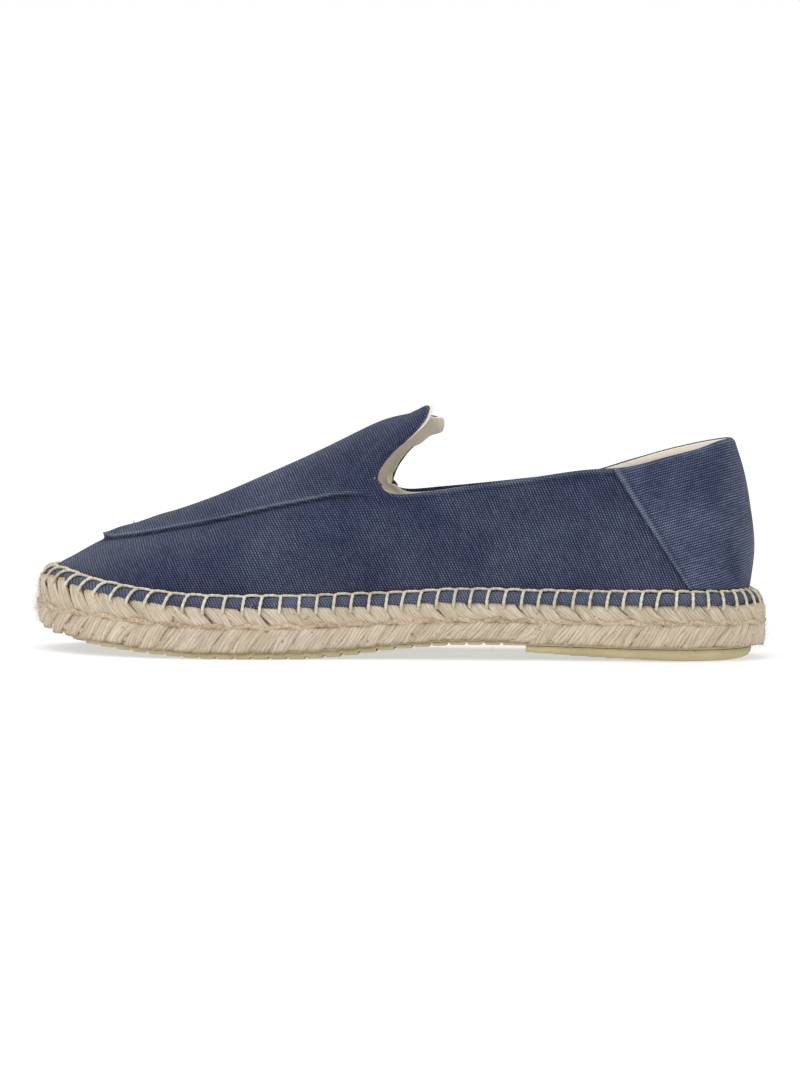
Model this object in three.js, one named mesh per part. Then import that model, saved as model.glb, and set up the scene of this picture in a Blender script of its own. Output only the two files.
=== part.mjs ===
// A left espadrille in washed canvas: a slip-on upper with a raised apron seam,
// a turned hem stitched to a braided jute sole, and a thin rubber outsole with a heel lift.
// Millimetres, +Z up, standing on z = 0. The toe points to -X, the outer side faces -Y.

import * as THREE from "three";

// Length and widths of the sole, measured over the jute
const SHOE_LENGTH = 280;
const BALL_WIDTH = 100;
const WAIST_WIDTH = 71;
const HEEL_WIDTH = 69;
const HEEL_ROUND = 40;
const TOE_ROUND = 78;
const TOE_SWING = 7;

// Heights of the sole
const SOLE_TOP = 20.2;
const TOE_RISE = 8.2;
const TOE_SPRING = 10;
const ARCH_HEIGHT = 5.5;
const HEEL_SHEET = 2.1;
const FOREFOOT_SHEET = 3.5;
const TREAD_PITCH = 6;
const TREAD_DEPTH = 0.8;
const LIFT_FRONT = 92;
const LIFT_TUCK = 3.4;
const LIFT_BREAST_RISE = 2.8;
const BRAID_BULGE = 2.6;
const OUTSOLE_INSET = 2.8;
const TOE_TUCK = 7;
const TOE_TUCK_FROM = 0.9;
const INSOLE_THICKNESS = 2.6;
const INSOLE_INSET = 7.6;

// Upper: wall, hem, collar, throat and instep
const WALL = 1.6;
const HEM_WIDTH = 5.2;
const HEM_HEIGHT = 5.4;
const COLLAR_BACK = 83.6;
const COLLAR_SIDE = 62;
const MEDIAL_RISE = 2.7;
const OPENING_WIDTH = 58;
const TONGUE_HEIGHT = 95.6;
const FAR_TIP_DROP = 4.5;
const FAR_TIP_BACK = 3.2;
const APRON_WIDTH = 59;
const APRON_RIDGE = 1.3;
const WALL_BELLY = 3.6;
const INSTEP_CROWN = 5.6;
const COUNTER_THICKNESS = 0.8;

// Distance kept between pieces that lie on each other
const SEAT_GAP = 0.3;

// Steps between two rows of the section tables, and stations along one side of the sole,
// of the stretch behind the tread and of the stretch ahead of it
const STEPS_PER_SECTION = 2;
const SOLE_STATIONS = 44;
const HEEL_STATIONS = 20;
const TOE_STATIONS = 6;

const FINISHES = {
  canvas: { color: "#484c62", roughness: 0.92 },
  counter: { color: "#525870", roughness: 0.92 },
  insole: { color: "#d9cfb8", roughness: 0.9 },
  jute: { color: "#c3b49d", roughness: 0.95 },
  rubber: { color: "#b6a985", roughness: 0.7 },
  lift: { color: "#b9ac88", roughness: 0.7 },
};

// Outline of the sole seen from above: half the width and the shift of the centre line
// towards the inner side, by distance from the heel as a share of SHOE_LENGTH.
const OUTLINE = [
  { along: 0.0, half: 0.5 * HEEL_WIDTH, swing: 0 },
  { along: 0.18, half: 0.5 * HEEL_WIDTH, swing: 0 },
  { along: 0.3, half: 0.485 * HEEL_WIDTH, swing: -0.15 },
  { along: 0.4, half: 0.475 * WAIST_WIDTH, swing: -0.33 },
  { along: 0.5, half: 0.5 * WAIST_WIDTH, swing: -0.33 },
  { along: 0.6, half: 0.425 * BALL_WIDTH, swing: -0.2 },
  { along: 0.68, half: 0.485 * BALL_WIDTH, swing: -0.08 },
  { along: 0.75, half: 0.503 * BALL_WIDTH, swing: 0 },
  { along: 0.83, half: 0.515 * BALL_WIDTH, swing: 0.18 },
  { along: 0.91, half: 0.52 * BALL_WIDTH, swing: 0.45 },
  { along: 1.0, half: 0.515 * BALL_WIDTH, swing: 1 },
];

// Side view of the sole, as shares: rise of TOE_RISE at its top, spring of TOE_SPRING and
// arch of ARCH_HEIGHT at its underside, and pad from the heel sheet to the forefoot sheet.
const SOLE_LINES = [
  { along: 0.0, rise: 0, spring: 0, arch: 0.8, pad: 0 },
  { along: 0.16, rise: 0, spring: 0, arch: 0.84, pad: 0 },
  { along: 0.32, rise: 0, spring: 0, arch: 1, pad: 0 },
  { along: 0.41, rise: 0.08, spring: 0, arch: 1, pad: 0 },
  { along: 0.46, rise: 0.08, spring: 0, arch: 0.84, pad: 0.1 },
  { along: 0.51, rise: 0.02, spring: 0, arch: 0.58, pad: 0.4 },
  { along: 0.56, rise: 0, spring: 0, arch: 0.24, pad: 0.8 },
  { along: 0.62, rise: -0.04, spring: 0, arch: 0, pad: 1 },
  { along: 0.68, rise: -0.04, spring: 0, arch: 0, pad: 1 },
  { along: 0.74, rise: 0, spring: 0, arch: 0, pad: 1 },
  { along: 0.81, rise: 0.12, spring: 0.13, arch: 0, pad: 1 },
  { along: 0.87, rise: 0.34, spring: 0.29, arch: 0, pad: 1 },
  { along: 0.92, rise: 0.63, spring: 0.46, arch: 0, pad: 0.85 },
  { along: 0.96, rise: 0.88, spring: 0.65, arch: 0, pad: 0.6 },
  { along: 1.0, rise: 1, spring: 1.02, arch: 0, pad: 0.4 },
];

// Side profile of the jute: two braids with a groove between them.
// level runs from the underside to the top, inset is a share of BRAID_BULGE.
const BRAID_PROFILE = [
  { level: 0.0, inset: 1.0 },
  { level: 0.1, inset: 0.3 },
  { level: 0.26, inset: 0 },
  { level: 0.4, inset: 0.3 },
  { level: 0.48, inset: 0.95 },
  { level: 0.54, inset: 0.95 },
  { level: 0.64, inset: 0.25 },
  { level: 0.78, inset: 0 },
  { level: 0.93, inset: 0.2 },
  { level: 1.0, inset: 0.6 },
];

// Sections of the upper, from the back of the heel forwards, the same for both sides.
// round: place of the section's foot, from 0 at the heel to 1 at the toe tip.
// along, out, height: where its top ends. along is a share of SHOE_LENGTH from the heel,
// out a share of half OPENING_WIDTH, and height runs from COLLAR_SIDE to COLLAR_BACK.
// belly: how far the wall swells out below its top, as a share of WALL_BELLY.
// rise: how much higher the inner side ends than the outer, as a share of MEDIAL_RISE.
const COLLAR = [
  { round: 0.0, along: 0.048, out: 0, height: 1, belly: 0.8, rise: 0 },
  { round: 0.06, along: 0.053, out: 0.19, height: 0.965, belly: 0.8, rise: 0.3 },
  { round: 0.12, along: 0.065, out: 0.37, height: 0.89, belly: 0.75, rise: 0.7 },
  { round: 0.18, along: 0.09, out: 0.57, height: 0.79, belly: 0.7, rise: 1 },
  { round: 0.24, along: 0.132, out: 0.73, height: 0.665, belly: 0.65, rise: 1 },
  { round: 0.3, along: 0.185, out: 0.86, height: 0.525, belly: 0.65, rise: 0.8 },
  { round: 0.35, along: 0.247, out: 0.94, height: 0.42, belly: 0.65, rise: 0.1 },
  { round: 0.4, along: 0.318, out: 0.985, height: 0.285, belly: 0.65, rise: -0.4 },
  { round: 0.435, along: 0.382, out: 1.0, height: 0.17, belly: 0.7, rise: -0.8 },
  { round: 0.465, along: 0.446, out: 1.0, height: 0.055, belly: 0.75, rise: -0.9 },
];

// Throat, from its corner up to the tip of the tongue. height runs from COLLAR_SIDE to
// TONGUE_HEIGHT, and tip sets the inner side back by shares of FAR_TIP_BACK and FAR_TIP_DROP.
// crown: how far the wall swells between seam and top, as a share of INSTEP_CROWN.
// seamAlong, seamOut, seamHeight: place of the apron seam, as shares of SHOE_LENGTH, of half
// APRON_WIDTH and of TONGUE_HEIGHT. ridge: its relief, as a share of APRON_RIDGE.
const THROAT = [
  { round: 0.49, along: 0.497, out: 0.965, height: 0.0, belly: 0.4, crown: 0.1, rise: -0.6,
    seamAlong: 0.489, seamOut: 1.09, seamHeight: 0.55, ridge: 0, tip: 0 },
  { round: 0.512, along: 0.519, out: 0.9, height: 0.11, belly: 0.5, crown: 0.1, rise: -0.3,
    seamAlong: 0.508, seamOut: 1.03, seamHeight: 0.61, ridge: 0.05, tip: 0 },
  { round: 0.532, along: 0.519, out: 0.83, height: 0.26, belly: 0.65, crown: 0.15, rise: 0,
    seamAlong: 0.53, seamOut: 0.975, seamHeight: 0.645, ridge: 0.35, tip: 0 },
  { round: 0.55, along: 0.502, out: 0.69, height: 0.46, belly: 0.8, crown: 0.35, rise: 0,
    seamAlong: 0.544, seamOut: 0.975, seamHeight: 0.646, ridge: 0.75, tip: 0 },
  { round: 0.565, along: 0.481, out: 0.52, height: 0.63, belly: 0.9, crown: 0.6, rise: 0,
    seamAlong: 0.557, seamOut: 0.98, seamHeight: 0.642, ridge: 1, tip: 0.1 },
  { round: 0.578, along: 0.46, out: 0.31, height: 0.83, belly: 1, crown: 0.75, rise: 0,
    seamAlong: 0.568, seamOut: 0.985, seamHeight: 0.638, ridge: 1, tip: 0.6 },
  { round: 0.588, along: 0.4565, out: 0.13, height: 1.0, belly: 1, crown: 0.85, rise: 0,
    seamAlong: 0.578, seamOut: 0.99, seamHeight: 0.634, ridge: 1, tip: 1 },
];

// Vamp, from the notch of the tongue down its centre ridge to the toe, with height as
// a share of TONGUE_HEIGHT and the other columns as for the throat
const VAMP = [
  { round: 0.596, along: 0.477, height: 0.968, belly: 1, crown: 0.9,
    seamAlong: 0.587, seamOut: 0.99, seamHeight: 0.63 },
  { round: 0.62, along: 0.523, height: 0.932, belly: 1, crown: 1,
    seamAlong: 0.621, seamOut: 1.0, seamHeight: 0.609 },
  { round: 0.655, along: 0.58, height: 0.852, belly: 1, crown: 1,
    seamAlong: 0.664, seamOut: 0.993, seamHeight: 0.583 },
  { round: 0.69, along: 0.632, height: 0.775, belly: 1, crown: 1,
    seamAlong: 0.705, seamOut: 0.97, seamHeight: 0.554 },
  { round: 0.725, along: 0.679, height: 0.708, belly: 1, crown: 0.9,
    seamAlong: 0.743, seamOut: 0.925, seamHeight: 0.528 },
  { round: 0.76, along: 0.721, height: 0.652, belly: 0.9, crown: 0.75,
    seamAlong: 0.777, seamOut: 0.855, seamHeight: 0.508 },
  { round: 0.8, along: 0.7625, height: 0.606, belly: 0.7, crown: 0.6,
    seamAlong: 0.811, seamOut: 0.753, seamHeight: 0.488 },
  { round: 0.84, along: 0.798, height: 0.573, belly: 0.45, crown: 0.45,
    seamAlong: 0.843, seamOut: 0.627, seamHeight: 0.47 },
  { round: 0.88, along: 0.827, height: 0.549, belly: 0.25, crown: 0.3,
    seamAlong: 0.871, seamOut: 0.475, seamHeight: 0.457 },
  { round: 0.92, along: 0.848, height: 0.527, belly: 0.1, crown: 0.2,
    seamAlong: 0.888, seamOut: 0.315, seamHeight: 0.449 },
  { round: 0.96, along: 0.861, height: 0.513, belly: 0, crown: 0.15,
    seamAlong: 0.902, seamOut: 0.156, seamHeight: 0.445 },
  { round: 1.0, along: 0.8655, height: 0.508, belly: 0, crown: 0.12,
    seamAlong: 0.906, seamOut: 0, seamHeight: 0.444 },
];

const LATERAL = -1;
const MEDIAL = 1;

function mix(a, b, share) {
  return a + (b - a) * share;
}

function clamp(value, low, high) {
  return Math.min(high, Math.max(low, value));
}

// Smooth curve through a column of a table, read by distance along the shoe.
function lineThrough(rows, column) {
  const slope = (i) => {
    const low = rows[Math.max(i - 1, 0)];
    const high = rows[Math.min(i + 1, rows.length - 1)];
    return (high[column] - low[column]) / (high.along - low.along);
  };
  return (along) => {
    const place = clamp(along, 0, 1);
    let i = rows.findIndex((row) => row.along >= place) - 1;
    i = clamp(i, 0, rows.length - 2);
    const span = rows[i + 1].along - rows[i].along;
    const t = (place - rows[i].along) / span;
    const rise = rows[i + 1][column] - rows[i][column];
    const startBend = slope(i) * span - rise;
    const endBend = rise - slope(i + 1) * span;
    return rows[i][column] + rise * t + t * (1 - t) * (startBend * (1 - t) + endBend * t);
  };
}

const outlineHalf = lineThrough(OUTLINE, "half");
const outlineSwing = lineThrough(OUTLINE, "swing");
const topRise = lineThrough(SOLE_LINES, "rise");
const toeSpring = lineThrough(SOLE_LINES, "spring");
const archShare = lineThrough(SOLE_LINES, "arch");
const padShare = lineThrough(SOLE_LINES, "pad");

function xAt(along) {
  return SHOE_LENGTH * (0.5 - along);
}

function centreY(along) {
  return TOE_SWING * outlineSwing(along);
}

// Height of the jute's top, of the outsole's underside and of the outsole's top
function soleTop(along) {
  return SOLE_TOP + TOE_RISE * topRise(along);
}

function underside(along) {
  return Math.max(0, TOE_SPRING * toeSpring(along) + ARCH_HEIGHT * archShare(along));
}

function outsoleTop(along) {
  return underside(along) + mix(HEEL_SHEET, FOREFOOT_SHEET, padShare(along));
}

// Both ends of the outline are round: 0 at the tip, 1 where the straight side begins.
function endRound(along) {
  const heel = clamp(1 - (along * SHOE_LENGTH) / HEEL_ROUND, 0, 1);
  const toe = clamp(1 - ((1 - along) * SHOE_LENGTH) / TOE_ROUND, 0, 1);
  return Math.sqrt((1 - heel * heel) * (1 - toe * toe));
}

// round counts evenly round one side of the sole, from 0 at the heel to 1 at the toe tip.
function alongAt(round) {
  return 0.5 - 0.5 * Math.cos(Math.PI * round);
}

function roundAt(along) {
  return Math.acos(1 - 2 * along) / Math.PI;
}

function outlinePoint(round, side) {
  const along = alongAt(round);
  const mirrored = round < 0 || round > 1 ? -side : side;
  return new THREE.Vector2(xAt(along), centreY(along) + mirrored * outlineHalf(along) * endRound(along));
}

const TANGENT_STEP = 0.002;

function outwards(round, side) {
  const before = outlinePoint(round - TANGENT_STEP, side);
  const after = outlinePoint(round + TANGENT_STEP, side);
  const run = after.sub(before).normalize();
  return new THREE.Vector2(side * run.y, -side * run.x);
}

// A point set in from the outline, at the height that heightAt gives for its own place
// and for the station that it belongs to
function rimPoint(round, side, inset, heightAt) {
  const point = outlinePoint(round, side);
  const out = outwards(round, side);
  const x = point.x - out.x * inset;
  return new THREE.Vector3(x, point.y - out.y * inset, heightAt(0.5 - x / SHOE_LENGTH, round));
}

// Welds corners that are equal to a ten-thousandth of a millimetre and drops triangles
// without area.
const WELD_GRAIN = 1e4;

function weld(triangles) {
  const index = new Map();
  const points = [];
  const faces = [];
  const indexOf = (point) => {
    const key = point.toArray().map((value) => Math.round(value * WELD_GRAIN)).join(" ");
    if (!index.has(key)) {
      index.set(key, points.length);
      points.push(point.clone());
    }
    return index.get(key);
  };
  for (const triangle of triangles) {
    const face = triangle.map(indexOf);
    if (new Set(face).size === 3) {
      faces.push(face);
    }
  }
  return { points, faces };
}

function quad(a, b, c, d) {
  return [[a, b, c], [a, c, d]];
}

// Triangles between neighbouring rows of points. side turns them to face outwards.
function gridTriangles(rows, side) {
  const triangles = [];
  for (let i = 1; i < rows.length; i += 1) {
    for (let j = 1; j < rows[i].length; j += 1) {
      const corners = [rows[i - 1][j - 1], rows[i][j - 1], rows[i][j], rows[i - 1][j]];
      triangles.push(...quad(...(side === MEDIAL ? corners : corners.reverse())));
    }
  }
  return triangles;
}

function faceNormal(points, face) {
  const [a, b, c] = face.map((i) => points[i]);
  return new THREE.Vector3().crossVectors(b.clone().sub(a), c.clone().sub(a));
}

function cornerNormals({ points, faces }) {
  const normals = points.map(() => new THREE.Vector3());
  for (const face of faces) {
    const normal = faceNormal(points, face);
    face.forEach((i) => normals[i].add(normal));
  }
  return normals.map((normal) => normal.normalize());
}

// Edges that belong to one triangle only, in that triangle's direction
function openEdges(faces) {
  const edges = new Map();
  for (const [a, b, c] of faces) {
    for (const [from, to] of [[a, b], [b, c], [c, a]]) {
      if (!edges.delete(`${to} ${from}`)) {
        edges.set(`${from} ${to}`, [from, to]);
      }
    }
  }
  return [...edges.values()];
}

// Turns an open sheet into a closed wall between two offsets from it.
function wallFromSheet(sheet, innerOffset, outerOffset) {
  const normals = cornerNormals(sheet);
  const shifted = (offset) => sheet.points.map((point, i) => point.clone().addScaledVector(normals[i], offset));
  const count = sheet.points.length;
  const points = [...shifted(outerOffset), ...shifted(innerOffset)];
  const faces = [...sheet.faces];
  sheet.faces.forEach(([a, b, c]) => faces.push([a + count, c + count, b + count]));
  for (const [from, to] of openEdges(sheet.faces)) {
    faces.push([to, from, from + count], [to, from + count, to + count]);
  }
  return { points, faces };
}

function toGeometry({ points, faces }) {
  const geometry = new THREE.BufferGeometry();
  geometry.setAttribute("position", new THREE.Float32BufferAttribute(points.flatMap((p) => p.toArray()), 3));
  geometry.setIndex(faces.flat());
  geometry.computeVertexNormals();
  return geometry;
}

function piece(name, solid, finish) {
  const material = new THREE.MeshStandardMaterial({ ...finish, metalness: 0 });
  const mesh = new THREE.Mesh(toGeometry(solid), material);
  mesh.name = name;
  return mesh;
}

// Sole pieces

// A solid over part of the sole: courses from bottom to top follow the outline at their
// own inset, and flat strips across the sole close its underside and its top.
function soleSolid(rounds, courses) {
  const side = (hand) => rounds.map((round) => courses.map(({ inset, height }) => (
    rimPoint(round, hand, inset(round), height)
  )));
  const outer = side(LATERAL);
  const inner = side(MEDIAL);
  const last = courses.length - 1;
  const triangles = [...gridTriangles(outer, LATERAL), ...gridTriangles(inner, MEDIAL)];
  for (let i = 1; i < rounds.length; i += 1) {
    triangles.push(...quad(inner[i - 1][last], inner[i][last], outer[i][last], outer[i - 1][last]));
    triangles.push(...quad(outer[i - 1][0], outer[i][0], inner[i][0], inner[i - 1][0]));
  }
  triangles.push(...gridTriangles([outer[rounds.length - 1], inner[rounds.length - 1]], LATERAL));
  return weld(triangles);
}

function evenRounds(from, to, count) {
  return Array.from({ length: count + 1 }, (_, i) => mix(from, to, i / count));
}

function fixedInset(inset) {
  return () => inset;
}

// The outsole draws in under the toe, where only jute shows.
function outsoleInset(round) {
  const share = clamp((alongAt(round) - TOE_TUCK_FROM) / (1 - TOE_TUCK_FROM), 0, 1);
  return OUTSOLE_INSET + TOE_TUCK * share ** 2;
}

function juteSole() {
  const courses = BRAID_PROFILE.map(({ level, inset }) => ({
    inset: fixedInset(inset * BRAID_BULGE),
    height: (along) => mix(outsoleTop(along) + SEAT_GAP, soleTop(along), level),
  }));
  return soleSolid(evenRounds(0, 1, SOLE_STATIONS), courses);
}

// The tread is a row of teeth across the forefoot: each has a flat land and a notch.
const TREAD_FROM = 0.57;
const TREAD_TO = 0.95;
const LAND_SHARE = 0.62;
const NOTCH_EDGE = 0.09;

function treadDepth(round) {
  const along = alongAt(round);
  if (along < TREAD_FROM || along > TREAD_TO) {
    return 0;
  }
  const place = ((along - TREAD_FROM) * SHOE_LENGTH) / TREAD_PITCH;
  const share = place - Math.floor(place);
  return share > LAND_SHARE + NOTCH_EDGE / 2 && share < 1 - NOTCH_EDGE / 2 ? TREAD_DEPTH : 0;
}

function treadRounds() {
  const teeth = Math.floor(((TREAD_TO - TREAD_FROM) * SHOE_LENGTH) / TREAD_PITCH);
  const edges = [0, LAND_SHARE, LAND_SHARE + NOTCH_EDGE, 1 - NOTCH_EDGE];
  const rounds = [];
  for (let tooth = 0; tooth < teeth; tooth += 1) {
    edges.forEach((edge) => rounds.push(roundAt(TREAD_FROM + ((tooth + edge) * TREAD_PITCH) / SHOE_LENGTH)));
  }
  return [...rounds, roundAt(TREAD_FROM + (teeth * TREAD_PITCH) / SHOE_LENGTH)];
}

function rubberOutsole() {
  const tread = treadRounds();
  const behind = evenRounds(0, tread[0], HEEL_STATIONS).slice(0, -1);
  const ahead = evenRounds(tread[tread.length - 1], 1, TOE_STATIONS).slice(1);
  const courses = [
    { inset: outsoleInset, height: (along, round) => underside(along) + treadDepth(round) },
    { inset: outsoleInset, height: outsoleTop },
  ];
  return soleSolid([...behind, ...tread, ...ahead], courses);
}

// The lift ends in a straight breast across the sole and rises a little towards it.
// Its edge tucks in below: inset as a share of LIFT_TUCK, level from the ground to its top.
const LIFT_EDGE = [
  { inset: 1, level: 0 },
  { inset: 0.4, level: 0.3 },
  { inset: 0, level: 1 },
];
const LIFT_FLAT_SHARE = 0.3;
const LIFT_RISE_POWER = 1.5;

function heelLift() {
  const front = LIFT_FRONT / SHOE_LENGTH;
  const rise = (along) => {
    const share = Math.max(0, along / front - LIFT_FLAT_SHARE) / (1 - LIFT_FLAT_SHARE);
    return LIFT_BREAST_RISE * share ** LIFT_RISE_POWER;
  };
  const courses = LIFT_EDGE.map(({ inset, level }) => ({
    inset: fixedInset(OUTSOLE_INSET + LIFT_TUCK * inset),
    height: (along) => mix(rise(along), underside(along) - SEAT_GAP, level),
  }));
  return soleSolid(evenRounds(0, roundAt(front), HEEL_STATIONS), courses);
}

function insole() {
  const courses = [SEAT_GAP, SEAT_GAP + INSOLE_THICKNESS].map((lift) => ({
    inset: fixedInset(INSOLE_INSET),
    height: (along) => soleTop(along) + lift,
  }));
  return soleSolid(evenRounds(0, 1, SOLE_STATIONS), courses);
}

// Upper

// Levels of the points that run up a section
const CROWN_LEVEL = 3;
const SEAM_LEVEL = 2;
const TOP_LEVEL = 4;

// Every section has a foot on the hem, a seam point and a top point. Behind the throat
// the seam point is only where the wall swells out.
const SWELL_SHARE = 0.58;
const SECTIONS = [
  ...COLLAR.map((row) => ({
    ...row, onSeam: false, crown: 0, ridge: 0, tip: 0, topHeight: mix(COLLAR_SIDE, COLLAR_BACK, row.height),
    topOut: 0.5 * OPENING_WIDTH * row.out,
  })),
  ...THROAT.map((row) => ({
    ...row, onSeam: true, topHeight: mix(COLLAR_SIDE, TONGUE_HEIGHT, row.height),
    topOut: 0.5 * OPENING_WIDTH * row.out,
  })),
  ...VAMP.map((row) => ({
    ...row, onSeam: true, rise: 0, ridge: 1, tip: 0, topHeight: TONGUE_HEIGHT * row.height, topOut: 0,
  })),
];
const RIDGE_START = COLLAR.length + THROAT.length;
const LAST_SECTION = SECTIONS.length - 1;

function hemPoint(round, side, inset, lift) {
  return rimPoint(round, side, inset, (along) => soleTop(along) + lift);
}

// Directions and shares of the swells: the wall swells outwards, the instep outwards and up.
const CROWN_OUT = 0.6;
const CROWN_UP = 0.8;
const QUARTER_BELLY_SHARE = 0.35;
const QUARTER_CROWN_SHARE = 0.25;

// The five points of one section's wall: hem top, belly, seam, crown and top.
function sectionPoints(row, side) {
  const out = outwards(row.round, side);
  const swell = new THREE.Vector3(out.x, out.y, 0);
  const foot = hemPoint(row.round, side, HEM_WIDTH, HEM_HEIGHT);
  const topY = centreY(row.along) + side * row.topOut;
  const top = new THREE.Vector3(xAt(row.along), topY, row.topHeight);
  if (side === MEDIAL) {
    top.x += FAR_TIP_BACK * row.tip;
    top.z += MEDIAL_RISE * row.rise - FAR_TIP_DROP * row.tip;
  }
  const bulge = WALL_BELLY * row.belly;
  const seam = row.onSeam
    ? new THREE.Vector3(
      xAt(row.seamAlong),
      centreY(row.seamAlong) + side * 0.5 * APRON_WIDTH * row.seamOut,
      TONGUE_HEIGHT * row.seamHeight,
    )
    : foot.clone().lerp(top, SWELL_SHARE).addScaledVector(swell, bulge);
  const bellySwell = row.onSeam ? bulge : QUARTER_BELLY_SHARE * bulge;
  const belly = foot.clone().lerp(seam, 0.5).addScaledVector(swell, bellySwell);
  const crownSwell = CROWN_OUT * INSTEP_CROWN * row.crown + (row.onSeam ? 0 : QUARTER_CROWN_SHARE * bulge);
  const crown = seam.clone().lerp(top, 0.5).addScaledVector(swell, crownSwell);
  crown.z += CROWN_UP * INSTEP_CROWN * row.crown;
  return [foot, belly, seam, crown, top];
}

// Blends four neighbouring values evenly, passing through the middle two.
function catmullRom(a, b, c, d, t) {
  return b + 0.5 * t * (c - a + t * (2 * a - 5 * b + 4 * c - d + t * (3 * (b - c) + d - a)));
}

function blendPoints(four, t) {
  const [a, b, c, d] = four;
  return new THREE.Vector3(
    catmullRom(a.x, b.x, c.x, d.x, t),
    catmullRom(a.y, b.y, c.y, d.y, t),
    catmullRom(a.z, b.z, c.z, d.z, t),
  );
}

// Section at any place between two rows. Past the heel and the toe the other side's
// sections follow, so both centre lines are smooth. The vamp's top is one shared ridge.
function sectionAt(place, side) {
  const start = Math.min(Math.floor(place), LAST_SECTION - 1);
  const share = place - start;
  const rowAt = (i) => {
    const folded = i < 0 ? -i : LAST_SECTION - Math.abs(LAST_SECTION - i);
    const hand = i < 0 || i > LAST_SECTION ? -side : side;
    return { row: SECTIONS[folded], points: sectionPoints(SECTIONS[folded], hand) };
  };
  const four = [start - 1, start, start + 1, start + 2].map(rowAt);
  const points = four[0].points.map((_, k) => blendPoints(four.map(({ points: own }) => own[k]), share));
  if (place >= RIDGE_START) {
    const top = blendPoints(four.map(({ row }) => sectionPoints(row, LATERAL)[TOP_LEVEL]), share);
    top.y = centreY(0.5 - top.x / SHOE_LENGTH);
    points[TOP_LEVEL] = top;
  }
  const [before, after] = [four[1].row, four[2].row];
  const rounds = [mirroredRound(start - 1), before.round, after.round, mirroredRound(start + 2)];
  const ridge = place >= RIDGE_START ? 1 : mix(before.ridge, after.ridge, share);
  return { points, ridge, round: catmullRom(...rounds, share) };
}

function mirroredRound(i) {
  if (i < 0) {
    return -SECTIONS[-i].round;
  }
  return i > LAST_SECTION ? 2 - SECTIONS[2 * LAST_SECTION - i].round : SECTIONS[i].round;
}

// The hem from the jute up to its top seam: inset as a share of HEM_WIDTH and
// lift as a share of HEM_HEIGHT
const HEM = [
  { inset: 0.3, lift: 0.06 },
  { inset: 0.12, lift: 0.42 },
  { inset: 0.36, lift: 0.84 },
];

// Heights on the wall, counted in its five points. The seam's ridge has its own crest.
const WALL_LEVELS = [0, 0.5, 1, 1.5, 1.82, SEAM_LEVEL, 2.16, 2.6, 3, 3.5, TOP_LEVEL];

function wallPoint(section, side, level) {
  const { points } = section;
  const top = points[TOP_LEVEL];
  if (level === TOP_LEVEL) {
    return top.clone();
  }
  const crown = points[CROWN_LEVEL];
  const beyond = section.place >= RIDGE_START
    ? new THREE.Vector3(crown.x, 2 * top.y - crown.y, crown.z)
    : top.clone().multiplyScalar(2).sub(crown);
  const below = points[0].clone().multiplyScalar(2).sub(points[1]);
  const line = [below, ...points, beyond];
  const start = Math.floor(level);
  const point = blendPoints(line.slice(start, start + 4), level - start);
  if (level === SEAM_LEVEL) {
    const out = outwards(section.round, side);
    const relief = APRON_RIDGE * section.ridge;
    point.add(new THREE.Vector3(CROWN_OUT * out.x, CROWN_OUT * out.y, CROWN_UP).multiplyScalar(relief));
  }
  return point;
}

function upperSheet() {
  const count = LAST_SECTION * STEPS_PER_SECTION;
  const triangles = [];
  for (const side of [LATERAL, MEDIAL]) {
    const rows = [];
    for (let i = 0; i <= count; i += 1) {
      const place = i / STEPS_PER_SECTION;
      const section = { ...sectionAt(place, side), place };
      const hem = HEM.map(({ inset, lift }) => (
        hemPoint(section.round, side, inset * HEM_WIDTH, lift * HEM_HEIGHT)
      ));
      rows.push([...hem, ...WALL_LEVELS.map((level) => wallPoint(section, side, level))]);
    }
    triangles.push(...gridTriangles(rows, side));
  }
  return weld(triangles);
}

// The counter lies on the back of the upper. Its front edge runs from the collar
// forwards of its foot, so it is given by a section number at the top and at the foot.
const COUNTER_TOP_SECTION = 5.6;
const COUNTER_FOOT_SECTION = 3.5;
const COUNTER_STEPS = 12;
const COUNTER_LEVELS = [0.3, 0.5, 1, 1.5, 1.82, 2.16, 2.6, 3, 3.5, 3.9];

function counterSheet() {
  const triangles = [];
  for (const side of [LATERAL, MEDIAL]) {
    const rows = [];
    for (let i = 0; i <= COUNTER_STEPS; i += 1) {
      rows.push(COUNTER_LEVELS.map((level) => {
        const reach = mix(COUNTER_FOOT_SECTION, COUNTER_TOP_SECTION, level / TOP_LEVEL);
        const place = (reach * i) / COUNTER_STEPS;
        return wallPoint({ ...sectionAt(place, side), place, ridge: 0 }, side, level);
      }));
    }
    triangles.push(...gridTriangles(rows, side));
  }
  return weld(triangles);
}

const espadrille = new THREE.Group();
espadrille.add(piece("jute_sole", juteSole(), FINISHES.jute));
espadrille.add(piece("rubber_outsole", rubberOutsole(), FINISHES.rubber));
espadrille.add(piece("heel_lift", heelLift(), FINISHES.lift));
espadrille.add(piece("insole", insole(), FINISHES.insole));
espadrille.add(piece("upper", wallFromSheet(upperSheet(), -WALL, 0), FINISHES.canvas));
const counter = wallFromSheet(counterSheet(), SEAT_GAP, SEAT_GAP + COUNTER_THICKNESS);
espadrille.add(piece("heel_counter", counter, FINISHES.counter));

export default espadrille;
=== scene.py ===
import math

import bpy
import numpy as np
from mathutils import Matrix, Vector


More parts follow.
